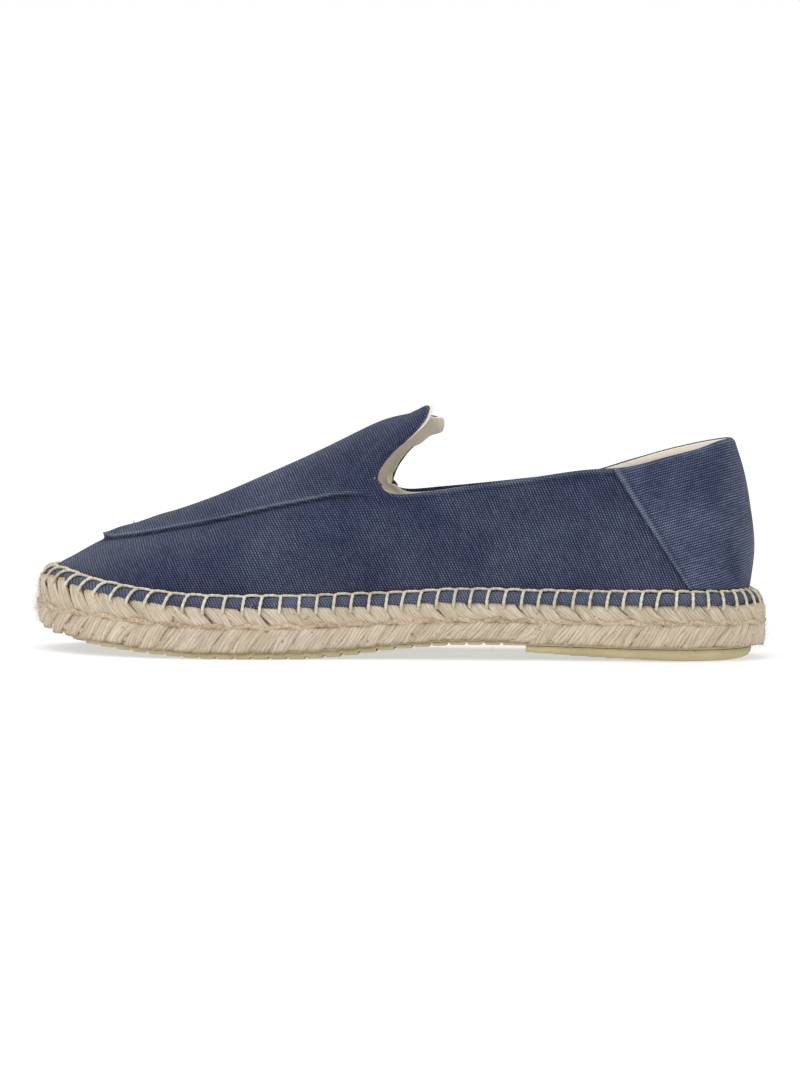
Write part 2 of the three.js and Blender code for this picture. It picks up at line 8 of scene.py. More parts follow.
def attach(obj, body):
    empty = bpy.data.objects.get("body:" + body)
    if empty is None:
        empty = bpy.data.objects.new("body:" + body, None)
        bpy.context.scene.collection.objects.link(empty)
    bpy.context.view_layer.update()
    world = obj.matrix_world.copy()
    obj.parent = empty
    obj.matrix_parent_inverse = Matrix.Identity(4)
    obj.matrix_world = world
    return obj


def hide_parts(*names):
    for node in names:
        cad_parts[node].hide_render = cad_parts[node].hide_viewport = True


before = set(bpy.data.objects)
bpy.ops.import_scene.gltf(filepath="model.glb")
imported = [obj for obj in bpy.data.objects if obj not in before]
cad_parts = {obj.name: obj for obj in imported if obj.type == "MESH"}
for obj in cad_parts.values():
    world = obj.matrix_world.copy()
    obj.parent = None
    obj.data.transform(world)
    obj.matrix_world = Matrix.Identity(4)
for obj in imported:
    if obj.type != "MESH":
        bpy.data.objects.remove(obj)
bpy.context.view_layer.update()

MM = 0.001


# Braided jute sole
# A flat braid of jute yarn wound edge-on round the sole, so its side shows two rows of slanting
# strands that meet in chevrons over a thin twisted core strand. Sewn through and pressed.

SHOE_LENGTH = 280.0
HEEL_ROUND = 40.0
TOE_ROUND = 78.0
TOE_SWING = 7.0
SOLE_TOP = 20.2
TOE_RISE = 8.2
TOE_SPRING = 10.0
ARCH_HEIGHT = 5.5
HEEL_SHEET = 2.1
FOREFOOT_SHEET = 3.5
SEAT_GAP = 0.3
LATERAL, MEDIAL = -1, 1

# Place from the heel as a share of the length, half width in mm, swing of the centre line
OUTLINE = np.array([
    (0.0, 34.5, 0), (0.18, 34.5, 0), (0.3, 33.465, -0.15), (0.4, 33.725, -0.33), (0.5, 35.5, -0.33),
    (0.6, 42.5, -0.2), (0.68, 48.5, -0.08), (0.75, 50.3, 0), (0.83, 51.5, 0.18), (0.91, 52.0, 0.45),
    (1.0, 51.5, 1.0),
])
# Place, rise of the top, toe spring, arch, growth of the outsole from heel to forefoot sheet
SOLE_LINES = np.array([
    (0.0, 0, 0, 0.8, 0), (0.16, 0, 0, 0.84, 0), (0.32, 0, 0, 1, 0), (0.41, 0.08, 0, 1, 0),
    (0.46, 0.08, 0, 0.84, 0.1), (0.51, 0.02, 0, 0.58, 0.4), (0.56, 0, 0, 0.24, 0.8),
    (0.62, -0.04, 0, 0, 1), (0.68, -0.04, 0, 0, 1), (0.74, 0, 0, 0, 1), (0.81, 0.12, 0.13, 0, 1),
    (0.87, 0.34, 0.29, 0, 1), (0.92, 0.63, 0.46, 0, 0.85), (0.96, 0.88, 0.65, 0, 0.6),
    (1.0, 1, 1.02, 0, 0.4),
])

# How much lower the braid's upper edge lies than the solid's along the forefoot, by place
TOP_DROP = np.array([
    (0.0, 0.0), (0.34, 0.0), (0.4, 0.3), (0.46, 1.2), (0.52, 1.7), (0.58, 2.0), (0.64, 2.1),
    (0.7, 2.4), (0.76, 2.5), (0.81, 2.2), (0.87, 1.8), (0.92, 1.6), (1.0, 1.5),
])


def smooth_line(table, column):
    """A smooth curve through one column of a table, read by the place in its first column."""
    along, value = table[:, 0], table[:, column]
    last = len(along) - 1
    low, high = np.maximum(np.arange(last + 1) - 1, 0), np.minimum(np.arange(last + 1) + 1, last)
    slope = (value[high] - value[low]) / (along[high] - along[low])

    def read(place):
        place = np.clip(place, 0.0, 1.0)
        i = np.clip(np.searchsorted(along, place) - 1, 0, last - 1)
        span = along[i + 1] - along[i]
        t = (place - along[i]) / span
        rise = value[i + 1] - value[i]
        start, end = slope[i] * span - rise, rise - slope[i + 1] * span
        return value[i] + rise * t + t * (1 - t) * (start * (1 - t) + end * t)
    return read


half_width, swing = smooth_line(OUTLINE, 1), smooth_line(OUTLINE, 2)
top_rise, toe_spring = smooth_line(SOLE_LINES, 1), smooth_line(SOLE_LINES, 2)
arch_share, pad_share = smooth_line(SOLE_LINES, 3), smooth_line(SOLE_LINES, 4)
top_drop = smooth_line(TOP_DROP, 1)


def sole_top(along):
    return SOLE_TOP + TOE_RISE * top_rise(along) - top_drop(along)


def underside(along):
    return np.maximum(0, TOE_SPRING * toe_spring(along) + ARCH_HEIGHT * arch_share(along))


def outsole_top(along):
    return underside(along) + HEEL_SHEET + (FOREFOOT_SHEET - HEEL_SHEET) * pad_share(along)


def jute_foot(along):
    return outsole_top(along) + SEAT_GAP


def jute_height(along, share):
    """Height in the braid, where share runs from 0 at its foot to 1 at its top."""
    return jute_foot(along) + share * (sole_top(along) - jute_foot(along))


def along_at(turn):
    return 0.5 - 0.5 * np.cos(np.pi * turn)


def turn_at(along):
    return np.arccos(1 - 2 * along) / np.pi


def outline_at(turn, side):
    """Point of the sole's outline. turn runs from 0 at the heel to 1 at the toe along one side."""
    along = along_at(turn)
    hand = np.where((turn < 0) | (turn > 1), -side, side)
    heel = np.clip(1 - along * SHOE_LENGTH / HEEL_ROUND, 0, 1)
    toe = np.clip(1 - (1 - along) * SHOE_LENGTH / TOE_ROUND, 0, 1)
    ends = np.sqrt((1 - heel ** 2) * (1 - toe ** 2))
    across = TOE_SWING * swing(along) + hand * half_width(along) * ends
    return np.stack([SHOE_LENGTH * (0.5 - along), across], axis=-1)


def outwards(turn, side):
    run = outline_at(turn + 0.002, side) - outline_at(turn - 0.002, side)
    run /= np.linalg.norm(run, axis=-1, keepdims=True)
    return np.stack([side * run[..., 1], -side * run[..., 0]], axis=-1)


def rim(turn, side, inset, height):
    """Points set in from the outline, at the height that the function height gives there."""
    flat = outline_at(turn, side) - outwards(turn, side) * np.asarray(inset)[..., None]
    z = height(0.5 - flat[..., 0] / SHOE_LENGTH)
    return np.concatenate([flat, z[..., None]], axis=-1)


# Steps per mm to which points are compared, off the round values that many of them have
WELD_STEPS, EASE_STEPS, STEP_OFFSET = 2000, 200, 0.137


def same_points(points, steps):
    """The first row of each different point, and for each row its number among them."""
    _, first, where = np.unique(
        np.round(points * steps + STEP_OFFSET), axis=0, return_index=True, return_inverse=True)
    return first, where.reshape(-1)


def weld(points, faces, corner_uv=None):
    """Joins equal points, drops collapsed faces, and returns points, faces and the kept rows."""
    first, where = same_points(points, WELD_STEPS)
    faces = where[faces]
    made, uvs = [], []
    for number, face in enumerate(faces.tolist()):
        keep = [k for k in range(len(face)) if face[k] != face[k - 1]]
        if len(keep) > 2:
            made.append([face[k] for k in keep])
            if corner_uv is not None:
                uvs.extend(corner_uv[number][k] for k in keep)
    return points[first], made, first, uvs


def grid_faces(rows, columns, flip, start=0):
    i, j = np.meshgrid(np.arange(rows - 1), np.arange(columns - 1), indexing="ij")
    a = (start + i * columns + j).reshape(-1)
    face = np.stack([a, a + columns, a + columns + 1, a + 1], axis=1)
    return face[:, ::-1] if flip else face


def linked(name, data):
    """An object for a mesh, lamp or camera, put into the scene at the origin."""
    piece = bpy.data.objects.new(name, data)
    bpy.context.scene.collection.objects.link(piece)
    return piece


def set_marks(mesh, marks):
    """Stores named values on a mesh's points."""
    for mark, values in marks.items():
        stored = mesh.attributes.new(mark, "FLOAT", "POINT").data
        stored.foreach_set("value", np.asarray(values, dtype=np.float32).ravel())


def mesh_piece(name, points, faces, material, uvs=None, marks=None):
    """An object at the origin from points in mm, with its cloth map and named point values."""
    mesh = bpy.data.meshes.new(name)
    mesh.from_pydata((np.asarray(points) * MM).tolist(), [], [list(face) for face in faces])
    if uvs is not None:
        layer = mesh.uv_layers.new(name="UVMap").data
        layer.foreach_set("uv", np.asarray(uvs, dtype=np.float32).ravel())
    set_marks(mesh, marks or {})
    mesh.materials.append(material)
    mesh.shade_smooth()
    return linked(name, mesh)


def map_by_place(piece, chart):
    """Gives a piece a map in mm, which the function chart reads from its corners' places."""
    mesh = piece.data
    corner = np.empty(len(mesh.loops), dtype=np.int32)
    mesh.loops.foreach_get("vertex_index", corner)
    place = np.empty(len(mesh.vertices) * 3, dtype=np.float32)
    mesh.vertices.foreach_get("co", place)
    flat = chart(place.reshape(-1, 3)[corner] / MM)
    mesh.uv_layers.new(name="UVMap").data.foreach_set("uv", flat.ravel())


def sole_body(name, turns, courses, material):
    """A closed body over part of the sole: courses of (inset, height) from bottom to top."""
    points, faces = [], []
    rows, columns = len(turns), len(courses)
    for side in (LATERAL, MEDIAL):
        ring = [rim(turns, side, inset(turns), lambda along, h=height: h(along, turns))
                for inset, height in courses]
        faces.append(grid_faces(rows, columns, side == LATERAL, len(points) * rows * columns))
        points.append(np.stack(ring, axis=1).reshape(-1, 3))
    i = np.arange(rows - 1) * columns
    step, far = columns, rows * columns
    for level, flip in ((columns - 1, False), (0, True)):
        a = i + level
        face = np.stack([a, a + far, a + far + step, a + step][::-1], axis=1)
        faces.append(face[:, ::-1] if flip else face)
    last = (rows - 1) * columns + np.arange(columns - 1)
    faces.append(np.stack([last, last + far, last + far + 1, last + 1], axis=1)[:, ::-1])
    points, faces, _, _ = weld(np.concatenate(points), np.concatenate(faces))
    return mesh_piece(name, points, faces, material)


def put(tree, kind, inputs=None, **settings):
    """Adds a node with its settings, and sets or links its inputs."""
    node = tree.nodes.new(kind)
    for key, value in settings.items():
        setattr(node, key, value)
    for key, value in (inputs or {}).items():
        if isinstance(value, bpy.types.NodeSocket):
            tree.links.new(value, node.inputs[key])
        else:
            node.inputs[key].default_value = value
    return node


def group_with(kind, name, inputs, outputs):
    """A node group with named sockets: each entry is (name, socket type, value or None)."""
    tree = bpy.data.node_groups.new(name, kind)
    for in_out, sockets in (("INPUT", inputs), ("OUTPUT", outputs)):
        for label, socket_type, value in sockets:
            socket = tree.interface.new_socket(label, in_out=in_out, socket_type=socket_type)
            if value is not None:
                socket.default_value = value
    return tree, tree.nodes.new("NodeGroupInput"), tree.nodes.new("NodeGroupOutput")


def new_material(name, **constants):
    """A material with a Principled BSDF whose fixed values are set on its own sockets."""
    material = bpy.data.materials.new(name)
    material.use_nodes = True
    tree = material.node_tree
    shader = tree.nodes["Principled BSDF"]
    for label, value in constants.items():
        shader.inputs[label.replace("_", " ").title().replace("Ior", "IOR")].default_value = value
    return material, tree, shader


def dyed(tree, factor, low, high):
    """Mixes two colours by a factor."""
    return put(tree, "ShaderNodeMix", {0: factor, 6: low, 7: high}, data_type="RGBA").outputs[2]


def darkened(tree, colour, factor, shade):
    """Multiplies a colour by a shade, as far as the factor says."""
    return put(tree, "ShaderNodeMix", {0: factor, 6: colour, 7: shade},
               data_type="RGBA", blend_type="MULTIPLY").outputs[2]


def sum_up(tree, operation, a, b=0.0, c=0.0):
    return put(tree, "ShaderNodeMath", {0: a, 1: b, 2: c}, operation=operation).outputs[0]


def blended(tree, a, share_a, b, share_b):
    """Two values added by their shares."""
    return sum_up(tree, "ADD", sum_up(tree, "MULTIPLY", a, share_a),
                  sum_up(tree, "MULTIPLY", b, share_b))


def spread(tree, value, low, high, to_low=0.0, to_high=1.0):
    """Stretches a value from between low and high to its new ends, and stops it there."""
    reach = {0: value, 1: low, 2: high, 3: to_low, 4: to_high}
    return put(tree, "ShaderNodeMapRange", reach, clamp=True).outputs[0]


def noise(tree, vector, scale, detail, roughness=0.5, distortion=0.0):
    return put(tree, "ShaderNodeTexNoise", {
        "Vector": vector, "Scale": scale, "Detail": detail, "Roughness": roughness,
        "Distortion": distortion}).outputs[0]


def object_place(tree):
    return put(tree, "ShaderNodeTexCoord").outputs["Object"]


def mark_value(tree, mark):
    """A value that the mesh carries on its points."""
    return put(tree, "ShaderNodeAttribute", attribute_name=mark).outputs["Fac"]


def finish_surface(tree, shader, colour, height, strength, distance):
    """Leads a colour and a bump of some depth in metres into the shader."""
    relief = put(tree, "ShaderNodeBump", {
        "Strength": strength, "Distance": distance, "Height": height})
    tree.links.new(colour, shader.inputs["Base Color"])
    tree.links.new(relief.outputs[0], shader.inputs["Normal"])


# Fibres that run along a yarn: hair-fine streaks over broader plies, as a tone and a height.
fibre_group, fibre_in, fibre_out = group_with(
    "ShaderNodeTree", "yarn_fibres",
    [("Vector", "NodeSocketVector", None), ("Fibre", "NodeSocketFloat", 2.2),
     ("Ply", "NodeSocketFloat", 0.95)],
    [("Tone", "NodeSocketFloat", None), ("Height", "NodeSocketFloat", None)])
stretch = put(fibre_group, "ShaderNodeVectorMath", {0: fibre_in.outputs[0], 1: (0.09, 1.0, 1.0)},
              operation="MULTIPLY").outputs[0]
fine = noise(fibre_group, stretch, fibre_in.outputs[1], 3.0, roughness=0.65)
plies = noise(fibre_group, stretch, fibre_in.outputs[2], 2.0, distortion=0.3)
fibre_mix = blended(fibre_group, fine, 0.5, plies, 0.5)
fibre_group.links.new(spread(fibre_group, fibre_mix, 0.38, 0.6), fibre_out.inputs[0])
fibre_group.links.new(fibre_mix, fibre_out.inputs[1])


def jute_material(name, light, mid, dark, painted_gap_shade, shade, fleck_colour):
    """Raw jute on a strand's own map: streaks along it, a tone of its own, flecks, and painted
    shade towards a gap colour where the braid would lie in shadow.
    """
    material, tree, shader = new_material(name, roughness=0.92, specular_ior_level=0.12)
    uv = put(tree, "ShaderNodeUVMap", uv_map="UVMap").outputs[0]
    tint = put(tree, "ShaderNodeAttribute", attribute_name="tint").outputs["Vector"]
    shift = put(tree, "ShaderNodeVectorMath", {0: uv, 1: tint}, operation="ADD").outputs[0]
    fibres = put(tree, "ShaderNodeGroup", node_tree=fibre_group)
    tree.links.new(shift, fibres.inputs[0])
    place = object_place(tree)
    blot, fleck = noise(tree, place, 110.0, 3.0), noise(tree, place, 420.0, 2.0)
    own = put(tree, "ShaderNodeSeparateXYZ", {0: tint}).outputs[2]
    colour = dyed(tree, fibres.outputs[0], dark, light)
    colour = dyed(tree, spread(tree, blot, 0.35, 0.65, 0.0, 0.4), colour, mid)
    colour = darkened(tree, colour, spread(tree, own, 0.0, 1.0, 0.0, 0.55), shade)
    colour = dyed(tree, spread(tree, fleck, 0.68, 0.75, 0.0, 0.7), colour, fleck_colour)
    # Painted shade: the mark depth darkens strand edges, ends, ply grooves, hidden backs and the
    # core towards the gap colour.
    colour = darkened(tree, colour, mark_value(tree, "depth"), painted_gap_shade)
    finish_surface(tree, shader, colour, fibres.outputs[1], 0.8, 0.0009)
    return material


jute = jute_material(
    "raw_jute", light=(0.73, 0.64, 0.515, 1), mid=(0.60, 0.52, 0.41, 1),
    dark=(0.46, 0.375, 0.275, 1), painted_gap_shade=(0.4, 0.32, 0.24, 1), shade=(0.82, 0.79, 0.74, 1),
    fleck_colour=(0.25, 0.13, 0.06, 1))

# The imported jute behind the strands: level up the braid and inset from the outline
CORE_STATIONS, CORE_PAINTED_SHADE = 70, 0.3
CORE_LEVELS = (
    (0.0, 0.3), (0.08, 0.0), (0.2, 0.6), (0.5, 2.8), (0.62, 2.8), (0.85, 1.7), (1.0, 2.4))
jute_core = sole_body("jute_core", np.linspace(0, 1, CORE_STATIONS), [
    (lambda turn, i=inset: np.full_like(turn, i),
     lambda along, turn, share=level: jute_height(along, share))
    for level, inset in CORE_LEVELS], jute)
# Painted shade: the whole core is darkened a little, as it lies in the shadow of the strands.
set_marks(jute_core.data, {"depth": np.full(len(jute_core.data.vertices), CORE_PAINTED_SHADE)})
map_by_place(jute_core, lambda place: np.stack([place[:, 2], place[:, 0] + place[:, 1]], axis=1))

# Stations of the hem stitches, which also lie between the strands: once round the sole from the
# toe, back along the outer side and forwards along the inner side.
STITCH_PITCH_BACK, STITCH_PITCH_FRONT = 6.35, 7.2
TOE_SPREAD = 2.6
STITCH_SHIFT = 0.35
WAY_STATIONS = 4001
way = np.linspace(0, 2, WAY_STATIONS)
way_turn = np.abs(1 - way)
way_points = np.where(
    (way < 1)[:, None], outline_at(way_turn, LATERAL), outline_at(way_turn, MEDIAL))
way_step = np.linalg.norm(np.diff(way_points, axis=0), axis=1)
way_front = np.clip((along_at(way_turn) - 0.5) / 0.22, 0, 1)
way_toe = np.clip((along_at(way_turn) - 0.88) / 0.09, 0, 1)
way_pitch = (STITCH_PITCH_BACK + (STITCH_PITCH_FRONT - STITCH_PITCH_BACK) * way_front
             + TOE_SPREAD * way_toe)
way_phase = np.concatenate([[0], np.cumsum(way_step / (0.5 * (way_pitch[1:] + way_pitch[:-1])))])
STITCHES = int(round(way_phase[-1]))
way_phase *= STITCHES / way_phase[-1]


def way_at(phase):
    """Side and turn of a phase counted in stitches round the sole."""
    s = np.interp(np.mod(phase, STITCHES), way_phase, way)
    return np.where(s < 1, LATERAL, MEDIAL), np.abs(1 - s)


def round_rim(phase, inset, height):
    """Points round the whole sole by stitch phase."""
    side, turn = way_at(phase)
    both = [rim(turn, hand, inset, height) for hand in (LATERAL, MEDIAL)]
    return np.where((side == LATERAL)[..., None], both[0], both[1])


def heading_at(phase):
    """Direction of the outline in plan, as an angle."""
    flush = np.zeros_like(phase)
    step = round_rim(phase + 0.05, flush, sole_top) - round_rim(phase - 0.05, flush, sole_top)
    return np.arctan2(step[:, 1], step[:, 0])


STRAND_HEIGHT = 7.5
STRAND_RINGS, STRAND_FACE, STRAND_REAR = 10, 25, 5
STRAND_PLIES = 5.5
# Tilt of the face over the next strand, narrowing of the ends, sideways bow in mm
STRAND_SHINGLE, STRAND_TAPER, STRAND_BOW = 0.12, 0.08, 0.9
STRAND_FROM, STRAND_TO = -0.06, 1.1


def strand_form(name, lean, tuck_low, tuck_high, half, thick, seed):
    """One slanting strand with its middle at the origin, outer face to -Y, STRAND_HEIGHT tall."""
    rng = np.random.default_rng(seed)
    t = np.linspace(STRAND_FROM, STRAND_TO, STRAND_RINGS)
    bow = STRAND_BOW * rng.uniform(-1, 1)
    path = np.stack([
        lean * (0.5 - t) + bow * np.sin(np.pi * t),
        (tuck_low * np.clip(1 - t / 0.3, 0, 2) ** 2
         + tuck_high * np.clip((t - 0.7) / 0.3, 0, 2) ** 2 + thick * 0.7),
        STRAND_HEIGHT * t], axis=1)
    run = np.gradient(path, axis=0)
    run /= np.linalg.norm(run, axis=1, keepdims=True)
    across = np.cross(run, (0, -1.0, 0))
    across /= np.linalg.norm(across, axis=1, keepdims=True)
    out = np.cross(across, run)
    flush = np.clip((np.abs(2 * t - 1) - 0.4) / 0.4, 0, 1)[:, None]
    level_way = np.stack([np.sign(across[:, 0]) / np.abs(run[:, 2]), 0 * t, 0 * t], axis=1)
    across = across * (1 - flush) + level_way * flush
    face = np.linspace(1, -1, STRAND_FACE)
    rear = np.linspace(-1, 1, STRAND_REAR + 2)[1:-1]
    along, across_face = t[:, None], face[None, :]
    twist = STRAND_PLIES * across_face + 1.1 * along + rng.uniform(0, 2)
    waver = 0.25 * np.sin(5 * along + 3 * across_face + rng.uniform(0, 6))
    ply = np.abs(np.cos(0.5 * np.pi * (twist + waver)))
    dome = (1 - np.abs(face) ** 2.6) ** 0.75
    high = thick * (dome[None, :] * (0.86 + 0.2 * ply))
    hollow = -0.5 * thick * (1 - rear ** 2)[None, :] * np.ones((STRAND_RINGS, 1))
    high = np.concatenate([high, hollow], axis=1)
    taper = 1 - STRAND_TAPER * np.abs(2 * t - 1) ** 3
    wide = (half * taper)[:, None] * np.concatenate([face, rear])[None, :]
    high = high + STRAND_SHINGLE * wide
    points = (path[:, None, :] + across[:, None, :] * wide[..., None]
              + out[:, None, :] * high[..., None])
    count = STRAND_FACE + STRAND_REAR
    length = np.concatenate([[0], np.cumsum(np.linalg.norm(np.diff(path, axis=0), axis=1))])
    girth = half * np.concatenate([face, [-1.2] * STRAND_REAR, [1.2]])
    faces, uvs = [], []
    for i in range(STRAND_RINGS - 1):
        for j in range(count):
            k = (j + 1) % count
            a, b = i * count, (i + 1) * count
            faces.append([a + j, a + k, b + k, b + j])
            uvs += [(length[i], girth[j]), (length[i], girth[j + 1]),
                    (length[i + 1], girth[j + 1]), (length[i + 1], girth[j])]
    for ring, order in ((0, -1), (STRAND_RINGS - 1, 1)):
        faces.append([ring * count + j for j in range(count)][::order])
        uvs += [(length[ring], girth[j]) for j in range(count)][::order]
    # Painted shade, stored as the mark depth: darker at the strand's edges and ends, in the grooves
    # between its plies, and fully on its hidden back.
    edge = np.clip((np.abs(face) - 0.8) / 0.2, 0, 1)[None, :]
    ends = np.clip((np.abs(2 * t - 1) - 0.85) / 0.4, 0, 1)[:, None]
    groove = 0.55 * np.clip(1 - ply / 0.45, 0, 1)
    depth = np.maximum(np.maximum(edge * 0.8, ends * 0.7), groove)
    depth = np.concatenate([depth, np.ones((STRAND_RINGS, STRAND_REAR))], axis=1)
    return mesh_piece(name, points.reshape(-1, 3), faces, jute, uvs, {"depth": depth.reshape(-1)})


def grown(name, guide, tree, values, material):
    """Runs a node tree on a guide mesh and keeps the result as a plain mesh object."""
    modifier = guide.modifiers.new("grow", "NODES")
    modifier.node_group = tree
    for item in tree.interface.items_tree:
        if item.in_out == "INPUT" and item.name in values:
            modifier[item.identifier] = values[item.name]
    bpy.context.view_layer.update()
    depsgraph = bpy.context.evaluated_depsgraph_get()
    mesh = bpy.data.meshes.new_from_object(
        guide.evaluated_get(depsgraph), preserve_all_data_layers=True, depsgraph=depsgraph)
    bpy.data.objects.remove(guide)
    mesh.name = name
    mesh.materials.clear()
    mesh.materials.append(material)
    mesh.shade_smooth()
    return linked(name, mesh)


# Stands one of three strands on each guide point, turned to the sole's heading there.
GEOMETRY, FLOAT, OBJECT, MATERIAL, INTEGER = (
    "NodeSocketGeometry", "NodeSocketFloat", "NodeSocketObject", "NodeSocketMaterial",
    "NodeSocketInt")
braid_tree, braid_in, braid_out = group_with(
    "GeometryNodeTree", "braid_of_strands",
    [("Geometry", GEOMETRY, None), ("Strand A", OBJECT, None), ("Strand B", OBJECT, None),
     ("Strand C", OBJECT, None), ("Sway", FLOAT, 0.1), ("Spread", FLOAT, 0.1), ("Seed", INTEGER, 1),
     ("Material", MATERIAL, None)],
    [("Geometry", GEOMETRY, None)])
variants = put(braid_tree, "GeometryNodeJoinGeometry")
for label in ("Strand C", "Strand B", "Strand A"):
    form = put(braid_tree, "GeometryNodeObjectInfo",
               {"Object": braid_in.outputs[label], "As Instance": True})
    braid_tree.links.new(form.outputs["Geometry"], variants.inputs[0])
heading, tall, broad = (
    put(braid_tree, "GeometryNodeInputNamedAttribute", {"Name": mark}, data_type="FLOAT").outputs[0]
    for mark in ("heading", "tall", "broad"))
seed, sway, uneven = (braid_in.outputs[label] for label in ("Seed", "Sway", "Spread"))
sway_seed, size_seed = (sum_up(braid_tree, "ADD", seed, step) for step in (7.0, 13.0))
pick = put(braid_tree, "FunctionNodeRandomValue", {4: 0, 5: 2, "Seed": seed}, data_type="INT")
swayed = put(braid_tree, "FunctionNodeRandomValue", {
    2: sum_up(braid_tree, "MULTIPLY", sway, -1.0), 3: sway, "Seed": sway_seed}, data_type="FLOAT")
grow = put(braid_tree, "FunctionNodeRandomValue", {
    2: sum_up(braid_tree, "SUBTRACT", 1.0, uneven), 3: sum_up(braid_tree, "ADD", 1.0, uneven),
    "Seed": size_seed}, data_type="FLOAT").outputs[1]
turned = put(braid_tree, "ShaderNodeCombineXYZ", {1: swayed.outputs[1], 2: heading})
sized = put(braid_tree, "ShaderNodeCombineXYZ", {
    0: sum_up(braid_tree, "MULTIPLY", broad, grow), 1: grow, 2: tall})
stood = put(braid_tree, "GeometryNodeInstanceOnPoints", {
    "Points": braid_in.outputs[0], "Instance": variants.outputs[0], "Pick Instance": True,
    "Instance Index": pick.outputs[2], "Rotation": turned.outputs[0], "Scale": sized.outputs[0]})
tinted = put(braid_tree, "FunctionNodeRandomValue", {
    0: (0, 0, 0), 1: (50, 50, 1), "Seed": sway_seed}, data_type="FLOAT_VECTOR")
stored = put(braid_tree, "GeometryNodeStoreNamedAttribute", {
    "Geometry": stood.outputs[0], "Name": "tint", "Value": tinted.outputs[0]},
    data_type="FLOAT_VECTOR", domain="INSTANCE")


def close_tree(tree, instances, tree_in, tree_out):
    """Ends a tree with real, coloured geometry."""
    real = put(tree, "GeometryNodeRealizeInstances", {0: instances.outputs[0]})
    done = put(tree, "GeometryNodeSetMaterial", {
        "Geometry": real.outputs[0], "Material": tree_in.outputs["Material"]})
    tree.links.new(done.outputs[0], tree_out.inputs[0])


close_tree(braid_tree, stored, braid_in, braid_out)


def guide_points(name, points, marks):
    """A mesh of loose points in mm with their named values."""
    mesh = bpy.data.meshes.new(name)
    mesh.from_pydata((points * MM).tolist(), [], [])
    set_marks(mesh, marks)
    return linked(name, mesh)


# Place, level of the groove, lift of the lower strands' feet, lift of the upper strands' heads
BRAID_LINES = np.array([
    (0.0, 0.56, -0.6, 0.1), (0.3, 0.56, -0.7, 0.1), (0.34, 0.56, 0.3, 0.2), (0.45, 0.57, 0.1, 0.7),
    (0.62, 0.61, -0.1, 1.2), (0.78, 0.59, -0.5, 1.3), (0.89, 0.53, -0.7, 1.6),
    (0.95, 0.43, -1.4, 1.5), (1.0, 0.38, -1.6, 0.9),
])
groove_level, foot_lift, head_lift = (smooth_line(BRAID_LINES, column) for column in (1, 2, 3))


def groove_height(along):
    return jute_height(along, groove_level(along))


def braid_foot(along):
    return jute_foot(along) + foot_lift(along)


def braid_head(along):
    return sole_top(along) + head_lift(along)


BRAID_ROWS = (
    # name, foot, head, lean, tuck below, tuck above, half width, thickness, phase, seed
    ("braid_upper", groove_height, braid_head, 5.0, 1.3, 0.6, 3.3, 1.0, 0.5, 11),
    ("braid_lower", braid_foot, groove_height, -6.0, 0.5, 1.4, 3.5, 1.1, 0.2, 23),
)
braids = []
for name, foot, head, lean, tuck_low, tuck_high, half, thick, phase, seed in BRAID_ROWS:
    forms = [
        strand_form(f"{name}_form_{k}", lean, tuck_low, tuck_high, half, thick, seed + k)
        for k in range(3)]
    rng = np.random.default_rng(seed)
    phases = np.arange(STITCHES) + phase + STITCH_SHIFT + rng.uniform(-0.11, 0.11, STITCHES)
    base = round_rim(phases, np.zeros(STITCHES), foot)
    along = 0.5 - base[:, 0] / SHOE_LENGTH
    pitch = np.interp(np.mod(phases, STITCHES), way_phase, way_pitch)
    guide = guide_points(name + "_guide", base, {
        "heading": heading_at(phases), "tall": (head(along) - foot(along)) / STRAND_HEIGHT,
        "broad": 1 + 0.5 * (pitch / STITCH_PITCH_BACK - 1)})
    braid = grown(name, guide, braid_tree, {
        "Strand A": forms[0], "Strand B": forms[1], "Strand C": forms[2], "Sway": 0.12,
        "Spread": 0.1, "Seed": seed, "Material": jute}, jute)
    for form in forms:
        bpy.data.objects.remove(form)
    braids.append(braid)

# Twists a lobed thread along guide lines: used for the braid's core strand and the hem stitches.
thread_tree, thread_in, thread_out = group_with(
    "GeometryNodeTree", "twisted_thread",
    [("Geometry", GEOMETRY, None), ("Radius", FLOAT, 0.0005), ("Twist per metre", FLOAT, 900.0),
     ("Step", FLOAT, 0.0005), ("Lobes", FLOAT, 2.0), ("Lobe depth", FLOAT, 0.18),
     ("Sides", INTEGER, 10), ("Material", MATERIAL, None)],
    [("Geometry", GEOMETRY, None)])
line = put(thread_tree, "GeometryNodeMeshToCurve", {0: thread_in.outputs[0]})
fine_line = put(thread_tree, "GeometryNodeResampleCurve", {
    "Curve": line.outputs[0], "Length": thread_in.outputs["Step"]}, mode="LENGTH")
reach = put(thread_tree, "GeometryNodeSplineParameter").outputs["Length"]
tilt = sum_up(thread_tree, "MULTIPLY", reach, thread_in.outputs["Twist per metre"])
twisted = put(thread_tree, "GeometryNodeSetCurveTilt",
              {"Curve": fine_line.outputs[0], "Tilt": tilt})
ring = put(thread_tree, "GeometryNodeCurvePrimitiveCircle", {
    "Resolution": thread_in.outputs["Sides"], "Radius": thread_in.outputs["Radius"]})
round_share = put(thread_tree, "GeometryNodeSplineParameter").outputs["Factor"]
angle = sum_up(thread_tree, "MULTIPLY", round_share, thread_in.outputs["Lobes"])
wave = sum_up(thread_tree, "COSINE", sum_up(thread_tree, "MULTIPLY", angle, 2 * math.pi))
lobe = sum_up(thread_tree, "MULTIPLY_ADD", wave, thread_in.outputs["Lobe depth"], 1.0)
ring_place = put(thread_tree, "GeometryNodeInputPosition").outputs[0]
lobed_place = put(thread_tree, "ShaderNodeVectorMath", {0: ring_place, "Scale": lobe},
                  operation="SCALE")
